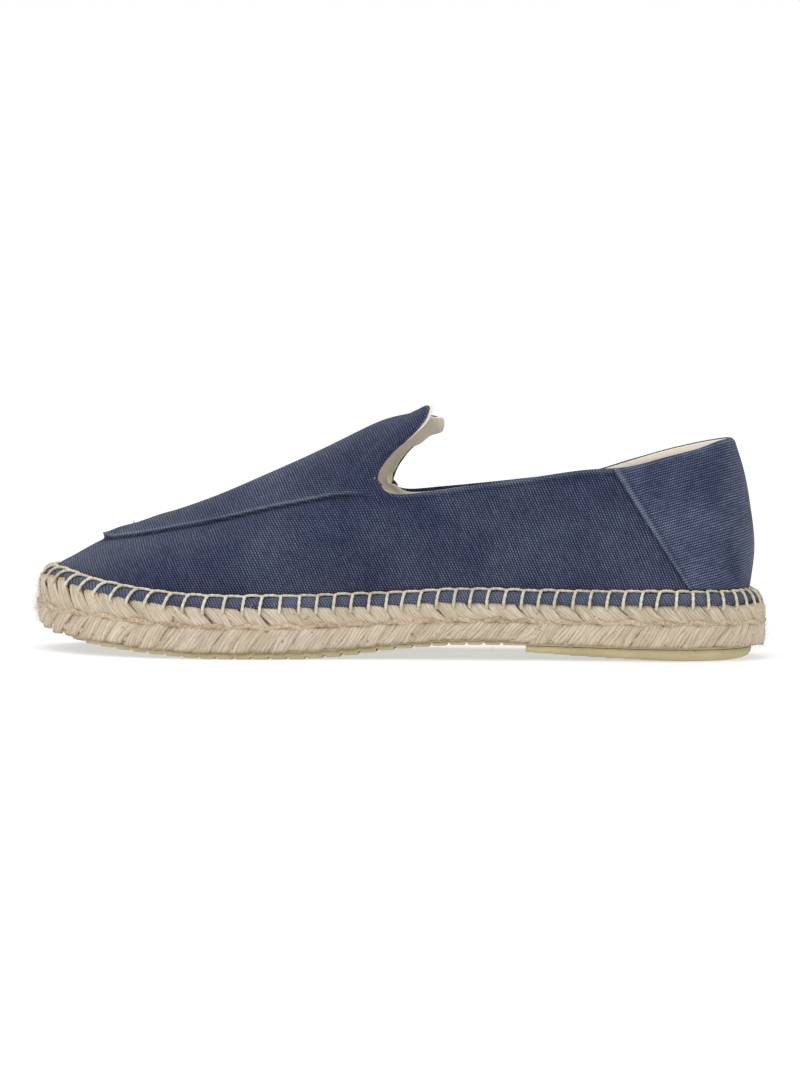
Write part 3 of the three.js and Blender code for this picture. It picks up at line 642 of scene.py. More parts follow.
lobed = put(thread_tree, "GeometryNodeSetPosition", {
    "Geometry": ring.outputs[0], "Position": lobed_place.outputs[0]})
thread = put(thread_tree, "GeometryNodeCurveToMesh", {
    "Curve": twisted.outputs[0], "Profile Curve": lobed.outputs[0], "Fill Caps": True})
close_tree(thread_tree, thread, thread_in, thread_out)


def guide_lines(name, lines):
    """A mesh of open edge chains, one for each list of points in mm."""
    points = np.concatenate(lines) * MM
    edges, start = [], 0
    for chain in lines:
        edges += [(start + k, start + k + 1) for k in range(len(chain) - 1)]
        start += len(chain)
    mesh = bpy.data.meshes.new(name)
    mesh.from_pydata(points.tolist(), edges, [])
    return linked(name, mesh)


def strand_material(name, light, dark, pitch):
    """Twisted yarn on Object coordinates: streaks and a soft speckle."""
    material, tree, shader = new_material(name, roughness=0.85, specular_ior_level=0.2,
                                          sheen_weight=0.1)
    place = object_place(tree)
    grain = noise(tree, place, 1.0 / pitch, 3.0)
    both = blended(tree, grain, 0.6, noise(tree, place, 70.0, 2.0), 0.4)
    colour = dyed(tree, spread(tree, both, 0.38, 0.62), dark, light)
    finish_surface(tree, shader, colour, grain, 0.5, 0.0002)
    return material


core_yarn = strand_material("jute_core_yarn", (0.62, 0.50, 0.36, 1), (0.34, 0.25, 0.16, 1), 0.0009)
CORE_SEED = 5
rng = np.random.default_rng(CORE_SEED)
core_phase = np.arange(0, STITCHES, 0.25)
# It weaves up and down and in and out, once for every two strands
wander = (0.55 * np.sin(2 * np.pi * core_phase / 2.0)
          + 0.3 * rng.uniform(-1, 1, len(core_phase)))
sink = (0.5 + 0.7 * np.cos(2 * np.pi * (core_phase + 0.3) / 2.0)
        + 0.15 * rng.uniform(-1, 1, len(core_phase)))
core_line = round_rim(core_phase, sink, groove_height)
core_line[:, 2] += wander
core_line = np.concatenate([core_line, core_line[:1]])
core_strand = grown("braid_core_strand", guide_lines("core_guide", [core_line]), thread_tree, {
    "Radius": 0.00095, "Twist per metre": 520.0, "Step": 0.0009, "Lobes": 3.0, "Lobe depth": 0.12,
    "Sides": 12, "Material": core_yarn}, core_yarn)

for piece in (jute_core, core_strand, *braids):
    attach(piece, "root")
    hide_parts("jute_sole")


# Rubber outsole and heel lift
# Thin crepe-coloured rubber moulded under the braid, thicker under the ball, with fine steps
# across its tread. A second slab makes the heel and ends in a straight breast.

OUTSOLE_INSET = 2.8
TOE_TUCK, TOE_TUCK_FROM = 7.0, 0.9
HEEL_TUCK = 2.0
TREAD_PITCH = 6.6
TREAD_DEPTH = 0.75
# Where the steps of the tread begin and fade out along the sole
TREAD_FROM, TREAD_LEVEL_FROM, TREAD_TO, TREAD_FADE = 0.34, 0.35, 0.97, 0.03
LIFT_FRONT = 89.0
LIFT_BREAST_RISE = 2.8


def rubber_material(name, light, dark):
    material, tree, shader = new_material(name, roughness=0.62, specular_ior_level=0.3)
    place = object_place(tree)
    cloud, speck = noise(tree, place, 45.0, 4.0), noise(tree, place, 900.0, 2.0)
    colour = dyed(tree, spread(tree, cloud, 0.35, 0.65), dark, light)
    colour = darkened(tree, colour, spread(tree, speck, 0.6, 0.75, 0.0, 0.35), (0.6, 0.52, 0.38, 1))
    tree.links.new(spread(tree, cloud, 0.3, 0.7, 0.5, 0.7), shader.inputs["Roughness"])
    finish_surface(tree, shader, colour, speck, 0.25, 0.0003)
    return material


rubber = rubber_material("crepe_rubber", (0.56, 0.475, 0.28, 1), (0.46, 0.385, 0.215, 1))


def heel_tuck(turn):
    """How much further in the rubber lies where it rounds the heel."""
    return HEEL_TUCK * np.clip(1 - along_at(turn) / 0.045, 0, 1)


def outsole_inset(turn):
    share = np.clip((along_at(turn) - TOE_TUCK_FROM) / (1 - TOE_TUCK_FROM), 0, 1)
    return OUTSOLE_INSET + TOE_TUCK * share ** 2 + heel_tuck(turn)


def tooth(along):
    """Place within a tooth of the tread, and the middle of that tooth."""
    count = along * SHOE_LENGTH / TREAD_PITCH
    return count - np.floor(count), (np.floor(count) + 0.5) * TREAD_PITCH / SHOE_LENGTH


def stepped_underside(along, turn):
    place, middle = tooth(along)
    level = underside(np.clip(middle, 0, 1))
    blend = np.where(along > TREAD_LEVEL_FROM, 0.7, 0.0)
    notch = TREAD_DEPTH * np.clip((0.16 - np.abs(place - 0.92)) / 0.08, 0, 1)
    notch = notch * np.where(along > TREAD_FROM, 1.0, 0.0)
    fade = np.clip((TREAD_TO - along) / TREAD_FADE, 0, 1)
    return np.maximum(0, underside(along) * (1 - blend) + level * blend) + notch * fade


def sheet_course(share, inset):
    def height(along, turn):
        low = stepped_underside(along, turn)
        return low + share * (outsole_top(along) - low)
    return (lambda turn: outsole_inset(turn) + inset), height


# Stations close enough together for the steps of the tread
rubber_turns = np.unique(np.concatenate([
    np.linspace(0, 1, 40), turn_at(np.linspace(0.33, 0.975, 560))]))
outsole = sole_body("rubber_sheet", rubber_turns, [
    sheet_course(0.0, 0.55), sheet_course(0.12, 0.1), sheet_course(0.3, -0.1),
    sheet_course(0.62, 0.0),
    sheet_course(0.68, 0.25), sheet_course(0.74, 0.05), sheet_course(1.0, 0.25)], rubber)


def lift_course(share, inset):
    front = LIFT_FRONT / SHOE_LENGTH

    def height(along, turn):
        reach = np.maximum(0, along / front - 0.3) / 0.7
        place, middle = tooth(along)
        step = np.maximum(0, middle / front - 0.3) / 0.7
        low = LIFT_BREAST_RISE * (0.35 * reach ** 1.5 + 0.65 * np.minimum(step, 1) ** 1.5)
        return low + share * (underside(along) - SEAT_GAP * 0.5 - low)
    return (lambda turn: OUTSOLE_INSET + inset + heel_tuck(turn)), height


lift_turns = np.unique(np.concatenate([
    np.linspace(0, turn_at(LIFT_FRONT / SHOE_LENGTH), 40),
    turn_at(np.linspace(0.1, LIFT_FRONT / SHOE_LENGTH, 120))]))
lift = sole_body("heel_slab", lift_turns, [
    lift_course(share, inset)
    for share, inset in ((0.0, 4.6), (0.08, 3.0), (0.25, 1.4), (0.6, 0.3), (0.9, 0.0),
                         (1.0, 0.25))], rubber)
for piece, node in ((outsole, "rubber_outsole"), (lift, "heel_lift")):
    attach(piece, "root")
    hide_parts(node)


# Insole
# A thin pad under cream cotton, laid loose on the braid and slightly crowned along its middle.

INSOLE_INSET = 7.6

# A canvas of thick weft rows over a fine warp: dots where the weft lies on top, in alternate rows.
weave_group, weave_in, weave_out = group_with(
    "ShaderNodeTree", "canvas_weave",
    [("Vector", "NodeSocketVector", None), ("Turn", "NodeSocketFloat", 0.0),
     ("Row pitch", "NodeSocketFloat", 1.0),
     ("Dot pitch", "NodeSocketFloat", 0.52), ("Wobble", "NodeSocketFloat", 0.3),
     ("Stripe", "NodeSocketFloat", 0.35)],
    [("Dots", "NodeSocketFloat", None), ("Height", "NodeSocketFloat", None),
     ("Slub", "NodeSocketFloat", None)])
drift = put(weave_group, "ShaderNodeTexNoise", {
    "Vector": weave_in.outputs["Vector"], "Scale": 0.32, "Detail": 2.0}).outputs["Color"]
offset = put(weave_group, "ShaderNodeVectorMath", {0: drift, 1: (0.5, 0.5, 0.5)},
             operation="SUBTRACT")
offset = put(weave_group, "ShaderNodeVectorMath", {
    0: offset.outputs[0], "Scale": weave_in.outputs["Wobble"]}, operation="SCALE")
moved = put(weave_group, "ShaderNodeVectorMath", {
    0: weave_in.outputs["Vector"], 1: offset.outputs[0]}, operation="ADD")
laid = put(weave_group, "ShaderNodeVectorRotate", {
    "Vector": moved.outputs[0], "Angle": weave_in.outputs["Turn"]},
    rotation_type="Z_AXIS").outputs[0]
cell = put(weave_group, "ShaderNodeSeparateXYZ", {0: laid})
warp_wave, weft_wave = (
    sum_up(weave_group, "COSINE", sum_up(
        weave_group, "DIVIDE", sum_up(weave_group, "MULTIPLY", way_across, math.pi),
        weave_in.outputs[pitch]))
    for way_across, pitch in ((cell.outputs[0], "Dot pitch"), (cell.outputs[1], "Row pitch")))
crossing = sum_up(weave_group, "MULTIPLY", warp_wave, weft_wave)
weft_square = sum_up(weave_group, "MULTIPLY", weft_wave, weft_wave)
row_stripe = sum_up(weave_group, "MULTIPLY_ADD", weft_square, 2.0, -1.0)
striped = sum_up(weave_group, "ADD", crossing,
                 sum_up(weave_group, "MULTIPLY", row_stripe, weave_in.outputs["Stripe"]))
slub_place = put(weave_group, "ShaderNodeVectorMath", {0: laid, 1: (0.18, 1.3, 1.0)},
                 operation="MULTIPLY").outputs[0]
uneven = noise(weave_group, weave_in.outputs["Vector"], 0.55, 3.0)
uneven = spread(weave_group, uneven, 0.3, 0.7, 0.62, 1.25)
dots = sum_up(weave_group, "MULTIPLY", spread(weave_group, striped, -0.45, 0.95), uneven)
for value, socket in zip(
        (dots, sum_up(weave_group, "ABSOLUTE", crossing), noise(weave_group, slub_place, 1.0, 2.0)),
        weave_out.inputs):
    weave_group.links.new(value, socket)


def cloth_material(name, turn, dark, light, wash_low, wash_high, worn_and_highlight, row=0.99, dot=0.5, bump=0.5,
                   mottle=0.5, stripe=0.9, slubs=1.0):
    """Washed cotton: woven dots, slubby yarns, mottled wash, pale wear mixed with painted highlight
    on the raised edges, and painted shade in lines and hollows.
    """
    material, tree, shader = new_material(
        name, roughness=0.95, specular_ior_level=0.1, sheen_weight=0.1, sheen_roughness=0.5)
    uv = put(tree, "ShaderNodeUVMap", uv_map="UVMap").outputs[0]
    weave = put(tree, "ShaderNodeGroup", {"Vector": uv}, node_tree=weave_group)
    for label, value in (("Turn", turn), ("Row pitch", row), ("Dot pitch", dot),
                         ("Stripe", stripe)):
        weave.inputs[label].default_value = value
    place = object_place(tree)
    cloud, patch = noise(tree, place, 42.0, 5.0, roughness=0.62), noise(tree, place, 16.0, 2.0)
    dots = weave.outputs["Dots"]
    wash = blended(tree, cloud, mottle, patch, 1 - mottle)
    tone = dyed(tree, spread(tree, wash, 0.4, 0.6), wash_low, wash_high)
    colour = darkened(tree, dyed(tree, dots, dark, light), 1.0, tone)
    thin, thick = (
        (1 + sign * 0.2 * slubs, 1 + sign * 0.2 * slubs, 1 + sign * 0.18 * slubs, 1)
        for sign in (-1, 1))
    slub_tone = dyed(tree, spread(tree, weave.outputs["Slub"], 0.35, 0.65), thin, thick)
    colour = darkened(tree, colour, 1.0, slub_tone)
    patchy, on_dots = spread(tree, cloud, 0.35, 0.6, 0.35, 1.0), spread(tree, dots, 0, 1, 0.35, 0.9)
    # Pale rub towards the worn colour: the hem's paler tone is the cloth's own, the band on the
    # seam's lip is painted highlight, and the bands on rolled edges are wear with painted
    # highlight.
    rub_and_highlight = sum_up(tree, "MULTIPLY", mark_value(tree, "wear_and_highlight"), patchy)
    colour = dyed(tree, sum_up(tree, "MULTIPLY", rub_and_highlight, on_dots), colour, worn_and_highlight)
    # Painted shade: darkens the lines under laps, rolls and stitches and the hollows beside ridges.
    colour = darkened(tree, colour, mark_value(tree, "painted_shade"), (0.34, 0.34, 0.38, 1))
    finish_surface(tree, shader, colour, weave.outputs["Height"], bump, 0.0003)
    return material


insole_cloth = cloth_material("insole_cotton", 0.4, (0.55, 0.50, 0.41, 1), (0.78, 0.73, 0.63, 1),
                              (0.9, 0.9, 0.88, 1), (1, 1, 1, 1), (0.8, 0.75, 0.65, 1))


def pad_course(inset, lift):
    """A course of the pad: how far in it lies and how far up from the braid."""
    return (lambda turn: np.full_like(turn, INSOLE_INSET + inset),
            lambda along, turn: sole_top(along) + SEAT_GAP + lift)


insole = sole_body("cotton_insole", np.linspace(0, 1, 90), [
    pad_course(0.6, 0.0), pad_course(0.0, 0.6), pad_course(0.0, 1.9), pad_course(0.7, 2.5),
    pad_course(6.0, 2.6)], insole_cloth)
map_by_place(insole, lambda place: place[:, :2])
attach(insole, "root")
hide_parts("insole")


# Canvas upper
# Washed blue cotton canvas. The vamp has an apron set in with a raised, folded seam that runs
# out towards the throat, the collar edge is turned in, and the hem is turned under on the braid.

CANVAS_THICKNESS = 0.8
HEM_WIDTH, HEM_HEIGHT = 5.2, 5.4
COLLAR_BACK, COLLAR_SIDE = 83.6, 62.0
MEDIAL_RISE = 2.7
OPENING_WIDTH = 58.0
TONGUE_HEIGHT = 95.6
FAR_TIP_DROP, FAR_TIP_BACK = 4.5, 3.2
FAR_THROAT_SHIFT = (2.3, 0.2, -0.8)
APRON_WIDTH = 59.0
APRON_RIDGE = 1.3
WALL_BELLY = 3.6
INSTEP_CROWN = 5.6
SWELL_SHARE = 0.58
CROWN_OUT, CROWN_UP = 0.6, 0.8
QUARTER_BELLY_SHARE, QUARTER_CROWN_SHARE = 0.35, 0.25
# How much higher the outer side's collar edge lies, by section from the heel
NEAR_COLLAR_LIFT = np.array([0, 0.5, 1.2, 0.75, 0.35, -0.5, 0.3, 0.2, 0.2, 0])

# turn, along, out, height, belly, rise
COLLAR = np.array([
    (0.0, 0.048, 0, 1, 0.8, 0), (0.06, 0.053, 0.19, 0.965, 0.8, 0.3),
    (0.12, 0.065, 0.37, 0.89, 0.75, 0.7), (0.18, 0.09, 0.57, 0.79, 0.7, 1),
    (0.24, 0.132, 0.73, 0.665, 0.65, 0.95), (0.3, 0.185, 0.86, 0.525, 0.65, 0.45),
    (0.35, 0.247, 0.94, 0.42, 0.65, -0.62), (0.4, 0.318, 0.985, 0.285, 0.65, -0.35),
    (0.435, 0.382, 1.0, 0.17, 0.7, -0.2), (0.465, 0.446, 1.0, 0.055, 0.75, 0.05),
])
# turn, along, out, height, belly, crown, rise, then the seam's along, out and height, tip
THROAT = np.array([
    (0.49, 0.497, 0.965, 0.0, 0.4, 0.1, 0.1, 0.489, 1.09, 0.55, 0),
    (0.512, 0.519, 0.9, 0.11, 0.5, 0.1, -0.3, 0.508, 1.03, 0.61, 0),
    (0.532, 0.519, 0.83, 0.26, 0.65, 0.15, 0, 0.53, 0.975, 0.645, 0),
    (0.55, 0.502, 0.69, 0.46, 0.8, 0.35, 0, 0.544, 0.975, 0.646, 0),
    (0.565, 0.481, 0.52, 0.63, 0.9, 0.6, 0, 0.557, 0.98, 0.642, 0.1),
    (0.578, 0.46, 0.31, 0.83, 1, 0.75, 0, 0.568, 0.985, 0.638, 0.6),
    (0.588, 0.4565, 0.13, 1.0, 1, 0.85, 0, 0.578, 0.99, 0.634, 1),
])
# turn, along, height, belly, crown, then the seam's along, out and height
VAMP = np.array([
    (0.596, 0.477, 0.968, 1, 0.9, 0.587, 0.99, 0.63), (0.62, 0.523, 0.932, 1, 1, 0.621, 1.0, 0.609),
    (0.655, 0.58, 0.852, 1, 1, 0.664, 0.993, 0.583), (0.69, 0.632, 0.775, 1, 1, 0.705, 0.97, 0.554),
    (0.725, 0.679, 0.708, 1, 0.9, 0.743, 0.925, 0.528),
    (0.76, 0.721, 0.652, 0.9, 0.75, 0.777, 0.855, 0.508),
    (0.8, 0.7625, 0.606, 0.7, 0.6, 0.811, 0.753, 0.488),
    (0.84, 0.798, 0.573, 0.45, 0.45, 0.843, 0.627, 0.47),
    (0.88, 0.827, 0.549, 0.25, 0.3, 0.871, 0.475, 0.457),
    (0.92, 0.848, 0.527, 0.1, 0.2, 0.888, 0.315, 0.449),
    (0.96, 0.861, 0.513, 0, 0.15, 0.902, 0.156, 0.445),
    (1.0, 0.8655, 0.508, 0, 0.12, 0.906, 0, 0.444),
])
RIDGE_START = len(COLLAR) + len(THROAT)
LAST_SECTION = RIDGE_START + len(VAMP) - 1


def calm(value, low, high):
    """0 up to low, 1 from high on, with a soft change between."""
    t = np.clip((value - low) / (high - low), 0, 1)
    return t * t * (3 - 2 * t)


def centre_y(along):
    return TOE_SWING * swing(along)


END_SET = 1.7
HEEL_END = (0.955, 0.992)


def end_set(turn):
    """How much further in the hem lies where it rounds the toe and the heel."""
    along = along_at(turn)
    return END_SET * (calm(along, 0.93, 0.985) + calm(1 - along, *HEEL_END))


def hem_line(turn, side, inset, lift):
    return rim(turn, side, inset + end_set(turn), lambda along: sole_top(along) + lift)


def section_points(side):
    """The hem top, belly, seam, crown and top of every section of one side, with its turn."""
    nothing, ones = np.zeros(len(COLLAR)), np.ones(len(VAMP))
    turn = np.concatenate([COLLAR[:, 0], THROAT[:, 0], VAMP[:, 0]])
    along = np.concatenate([COLLAR[:, 1], THROAT[:, 1], VAMP[:, 1]])
    out = 0.5 * OPENING_WIDTH * np.concatenate([COLLAR[:, 2], THROAT[:, 2], 0 * ones])
    height = np.concatenate([
        COLLAR_SIDE + (COLLAR_BACK - COLLAR_SIDE) * COLLAR[:, 3],
        COLLAR_SIDE + (TONGUE_HEIGHT - COLLAR_SIDE) * THROAT[:, 3], TONGUE_HEIGHT * VAMP[:, 2]])
    belly = WALL_BELLY * np.concatenate([COLLAR[:, 4], THROAT[:, 4], VAMP[:, 3]])
    crown = INSTEP_CROWN * np.concatenate([nothing, THROAT[:, 5], VAMP[:, 4]])
    rise = MEDIAL_RISE * np.concatenate([COLLAR[:, 5], THROAT[:, 6], 0 * ones])
    tip = np.concatenate([nothing, THROAT[:, 10], 0 * ones])
    on_seam = np.arange(len(turn)) >= len(COLLAR)
    swell = np.concatenate([outwards(turn, side), np.zeros((len(turn), 1))], axis=1)
    foot = hem_line(turn, side, np.full_like(turn, HEM_WIDTH), HEM_HEIGHT)
    top = np.stack([SHOE_LENGTH * (0.5 - along), centre_y(along) + side * out, height], axis=1)
    if side == LATERAL:
        top[:len(NEAR_COLLAR_LIFT), 2] += NEAR_COLLAR_LIFT
    if side == MEDIAL:
        top[:, 0] += FAR_TIP_BACK * tip
        top[:, 2] += rise - FAR_TIP_DROP * tip
    seams = np.concatenate([THROAT[:, 7:10], VAMP[:, 5:8]])
    stand = foot + swell * (END_SET * calm(1 - along_at(turn), *HEEL_END))[:, None]
    seam = stand + (top - stand) * SWELL_SHARE + swell * belly[:, None]
    seam[on_seam] = np.stack([
        SHOE_LENGTH * (0.5 - seams[:, 0]),
        centre_y(seams[:, 0]) + side * 0.5 * APRON_WIDTH * seams[:, 1],
        TONGUE_HEIGHT * seams[:, 2]], axis=1)
    bulge = belly * np.where(on_seam, 1.0, QUARTER_BELLY_SHARE)
    mid = (stand + seam) / 2 + swell * bulge[:, None]
    crown_out = CROWN_OUT * crown + np.where(on_seam, 0.0, QUARTER_CROWN_SHARE * belly)
    high = (seam + top) / 2 + swell * crown_out[:, None]
    high[:, 2] += CROWN_UP * crown
    return np.stack([foot, mid, seam, high, top], axis=1), turn


SECTIONS = {side: section_points(side) for side in (LATERAL, MEDIAL)}


def blend_four(values, t):
    """A smooth curve between the second and third of four values."""
    a, b, c, d = values
    return b + 0.5 * t * (c - a + t * (2 * a - 5 * b + 4 * c - d + t * (3 * (b - c) + d - a)))


def padded_rows(own, other):
    """Rows with one more at each end, taken over the middle line from the other side."""
    return np.concatenate([other[1:2], own, other[-2:-1]])


def row_before(place):
    return np.clip(np.floor(place).astype(int), 0, LAST_SECTION - 1)


def wall_form(side, place, level):
    """Points of the upper's outer face before its relief, for matching arrays of place and level.
    place counts the sections from the heel, level runs from 0 at the hem's top to 4 at the edge."""
    start = row_before(place)
    share = place - start
    rows = padded_rows(SECTIONS[side][0], SECTIONS[-side][0])
    points = blend_four([rows[start + k] for k in range(4)], share[:, None, None])
    ridge_rows = padded_rows(SECTIONS[LATERAL][0], SECTIONS[LATERAL][0])[:, 4]
    ridge_top = blend_four([ridge_rows[start + k] for k in range(4)], share[:, None])
    ridge_top[:, 1] = centre_y(0.5 - ridge_top[:, 0] / SHOE_LENGTH)
    on_ridge = (place >= RIDGE_START)[:, None]
    points[:, 4] = np.where(on_ridge, ridge_top, points[:, 4])
    top, crown = points[:, 4], points[:, 3]
    across = np.stack([crown[:, 0], 2 * top[:, 1] - crown[:, 1], crown[:, 2]], axis=1)
    beyond = np.where(on_ridge, across, 2 * top - crown)
    below = 2 * points[:, 0] - points[:, 1]
    column = np.concatenate([below[:, None], points, beyond[:, None]], axis=1)
    floor = np.clip(np.floor(level).astype(int), 0, 3)
    row = np.arange(len(place))
    found = blend_four([column[row, floor + k] for k in range(4)], (level - floor)[:, None])
    return np.where((level >= 4)[:, None], top, found)


# Grid cells to a section and to a level, and how the crowded places are eased
GRID_PLACE, GRID_LEVEL = 8, 16
EASE_ROUNDS, EASE_STEP = 60, 0.6
EDGE_LEVEL = 3.99
TIP_FROM, TIP_TO, TIP_ROUNDS = 15.25, 16.75, 14
grid_places = np.arange(LAST_SECTION * GRID_PLACE + 1) / GRID_PLACE
grid_levels = np.arange(4 * GRID_LEVEL + 1) / GRID_LEVEL


def eased(points, edges, mask, rounds):
    """Draws each point towards the middle of its neighbours, as far as its mask says."""
    count = np.maximum(np.bincount(edges.ravel(), minlength=len(points)), 1)
    for _ in range(rounds):
        total = np.zeros_like(points)
        for near, far in ((0, 1), (1, 0)):
            for axis in range(3):
                pull = points[edges[:, far], axis]
                total[:, axis] += np.bincount(edges[:, near], pull, minlength=len(points))
        points = points + EASE_STEP * mask[:, None] * (total / count[:, None] - points)
    return points


def smoothed_walls():
    """The wall as a grid for each side, eased where its sections crowd: at throat and tongue."""
    place, level = [
        grid.reshape(-1) for grid in np.meshgrid(grid_places, grid_levels, indexing="ij")]
    rows, columns = len(grid_places), len(grid_levels)
    forms = np.stack([wall_form(side, place, level) for side in (LATERAL, MEDIAL)])
    forms = forms.reshape(2, rows, columns, 3)
    tip = slice(int(TIP_FROM * GRID_PLACE), int(TIP_TO * GRID_PLACE))
    for _ in range(TIP_ROUNDS):
        edge = forms[:, :, -1]
        near = 0.25 * (edge[:, :-2] + 2 * edge[:, 1:-1] + edge[:, 2:])
        forms[:, tip, -1] = near[:, tip.start - 1:tip.stop - 1]
    points = forms.reshape(-1, 3)
    first, where = same_points(points, EASE_STEPS)
    where = where.reshape(2, rows, columns)
    edges = np.concatenate([
        np.stack([where[:, 1:].ravel(), where[:, :-1].ravel()], axis=1),
        np.stack([where[:, :, 1:].ravel(), where[:, :, :-1].ravel()], axis=1)])
    edges = np.unique(np.sort(edges[edges[:, 0] != edges[:, 1]], axis=1), axis=0)
    tongue = calm(place, 14.3, 15.6) * (1 - calm(place, 18.6, 20.5)) * calm(level, 2.25, 2.9)
    corner = (calm(place, 9.4, 10.6) * (1 - calm(place, 12.8, 14.2))
              * calm(level, 1.5, 2.3) * (1 - calm(level, 3.2, 3.75)))
    mask = np.maximum(tongue, corner) * np.where(level > EDGE_LEVEL, 0.0, 1.0)
    mask = np.concatenate([mask, mask])[first]
    soft = eased(points[first], edges, mask, EASE_ROUNDS)
    near, far = soft[where[0]], soft[where[1]]
    # The far throat and vamp mirror the near ones, with a lower tip and the throat set back
    middle = centre_y(0.5 - near[:, :, 0] / SHOE_LENGTH)
    mirrored = near.copy()
    mirrored[:, :, 1] = 2 * middle - near[:, :, 1]
    lowered = (calm(mirrored[:, :, 0], 4.5, 12.2) * calm(mirrored[:, :, 2], 83, 93)
               * calm(mirrored[:, :, 1] - middle, 0, 1.3))
    mirrored += lowered[:, :, None] * np.array([FAR_TIP_BACK, 0, -FAR_TIP_DROP])
    throat = calm(grid_places, 10.4, 11.8) * (1 - calm(grid_places, 14.0, 15.8))
    throat = throat[:, None] * calm(grid_levels, 2.4, 4)[None, :]
    mirrored += throat[:, :, None] * np.array(FAR_THROAT_SHIFT)
    share = calm(grid_places, 10.2, 12.2)[:, None] * calm(grid_levels, 0.8, 1.8)[None, :]
    at_ridge = np.maximum(share, (grid_levels > EDGE_LEVEL)[None, :])
    share = np.where(grid_places[:, None] >= RIDGE_START, at_ridge, share)
    return {LATERAL: near, MEDIAL: far + share[:, :, None] * (mirrored - far)}


WALLS = smoothed_walls()


def bordered(side):
    """A side's grid with one row and column more all round, to read it smoothly up to its edges."""
    own, other = WALLS[side], WALLS[-side]
    grid, mirror = padded_rows(own, other), padded_rows(other, own)
    low = 2 * grid[:, :1] - grid[:, 1:2]
    high = 2 * grid[:, -1:] - grid[:, -2:-1]
    on_ridge = np.arange(len(grid)) > RIDGE_START * GRID_PLACE
    high[on_ridge] = mirror[on_ridge, -2:-1]
    return np.concatenate([low, grid, high], axis=1)


BORDERED = {side: bordered(side) for side in (LATERAL, MEDIAL)}


def grid_cell(place, level):
    """The grid's row and column below each place and level, and the shares beyond them."""
    r, c = np.clip(place, 0, LAST_SECTION) * GRID_PLACE, np.clip(level, 0, 4) * GRID_LEVEL
    i = np.clip(r.astype(int), 0, LAST_SECTION * GRID_PLACE - 1)
    j = np.clip(c.astype(int), 0, 4 * GRID_LEVEL - 1)
    return i, j, r - i, c - j


def wall(side, place, level):
    """Points of the upper's outer face before its relief, and the turn, by place and level."""
    i, j, s, t = grid_cell(place, level)
    grid = BORDERED[side]
    found = blend_four([
        blend_four([grid[i + a, j + b] for b in range(4)], t[:, None]) for a in range(4)],
        s[:, None])
    turn = SECTIONS[side][1]
    turns = np.concatenate([-turn[1:2], turn, 2 - turn[-2:-1]])
    start = row_before(place)
    return found, blend_four([turns[start + k] for k in range(4)], place - start)


# Hem profile: inset as a share of its width, lift as a share of its height
HEM = np.array([
    (0.3, -0.06), (0.2, 0.15), (0.1, 0.3), (0.06, 0.42), (0.12, 0.58), (0.24, 0.74), (0.42, 0.88),
    (0.64, 0.96)])


def side_sheet(side, places, levels, hem=True):
    """Grid of outer points of one side, rows by place, columns up the hem and the wall."""
    place, level = [grid.reshape(-1) for grid in np.meshgrid(places, levels, indexing="ij")]
    points, turn = wall(side, place, level)
    grid = points.reshape(len(places), len(levels), 3)
    turns = turn.reshape(len(places), len(levels))[:, 0]
    if hem:
        courses = [hem_line(turns, side, np.full_like(turns, inset * HEM_WIDTH), lift * HEM_HEIGHT)
                   for inset, lift in HEM]
        grid = np.concatenate([np.stack(courses, axis=1), grid], axis=1)
    return grid, turns


# Steps of the flat pattern to a section, the places it is first pinned at, and the places of the
# quarter that stand as they do in the side view
PATTERN_STEPS, PIN_PLACES, PIN_COLUMN = 2, (4, 19), 2
QUARTER_ROWS, QUARTER_COLUMNS, CENTRED_ROWS = (30, 52), 4, (20, 50)
RIGID_ROUNDS = 25


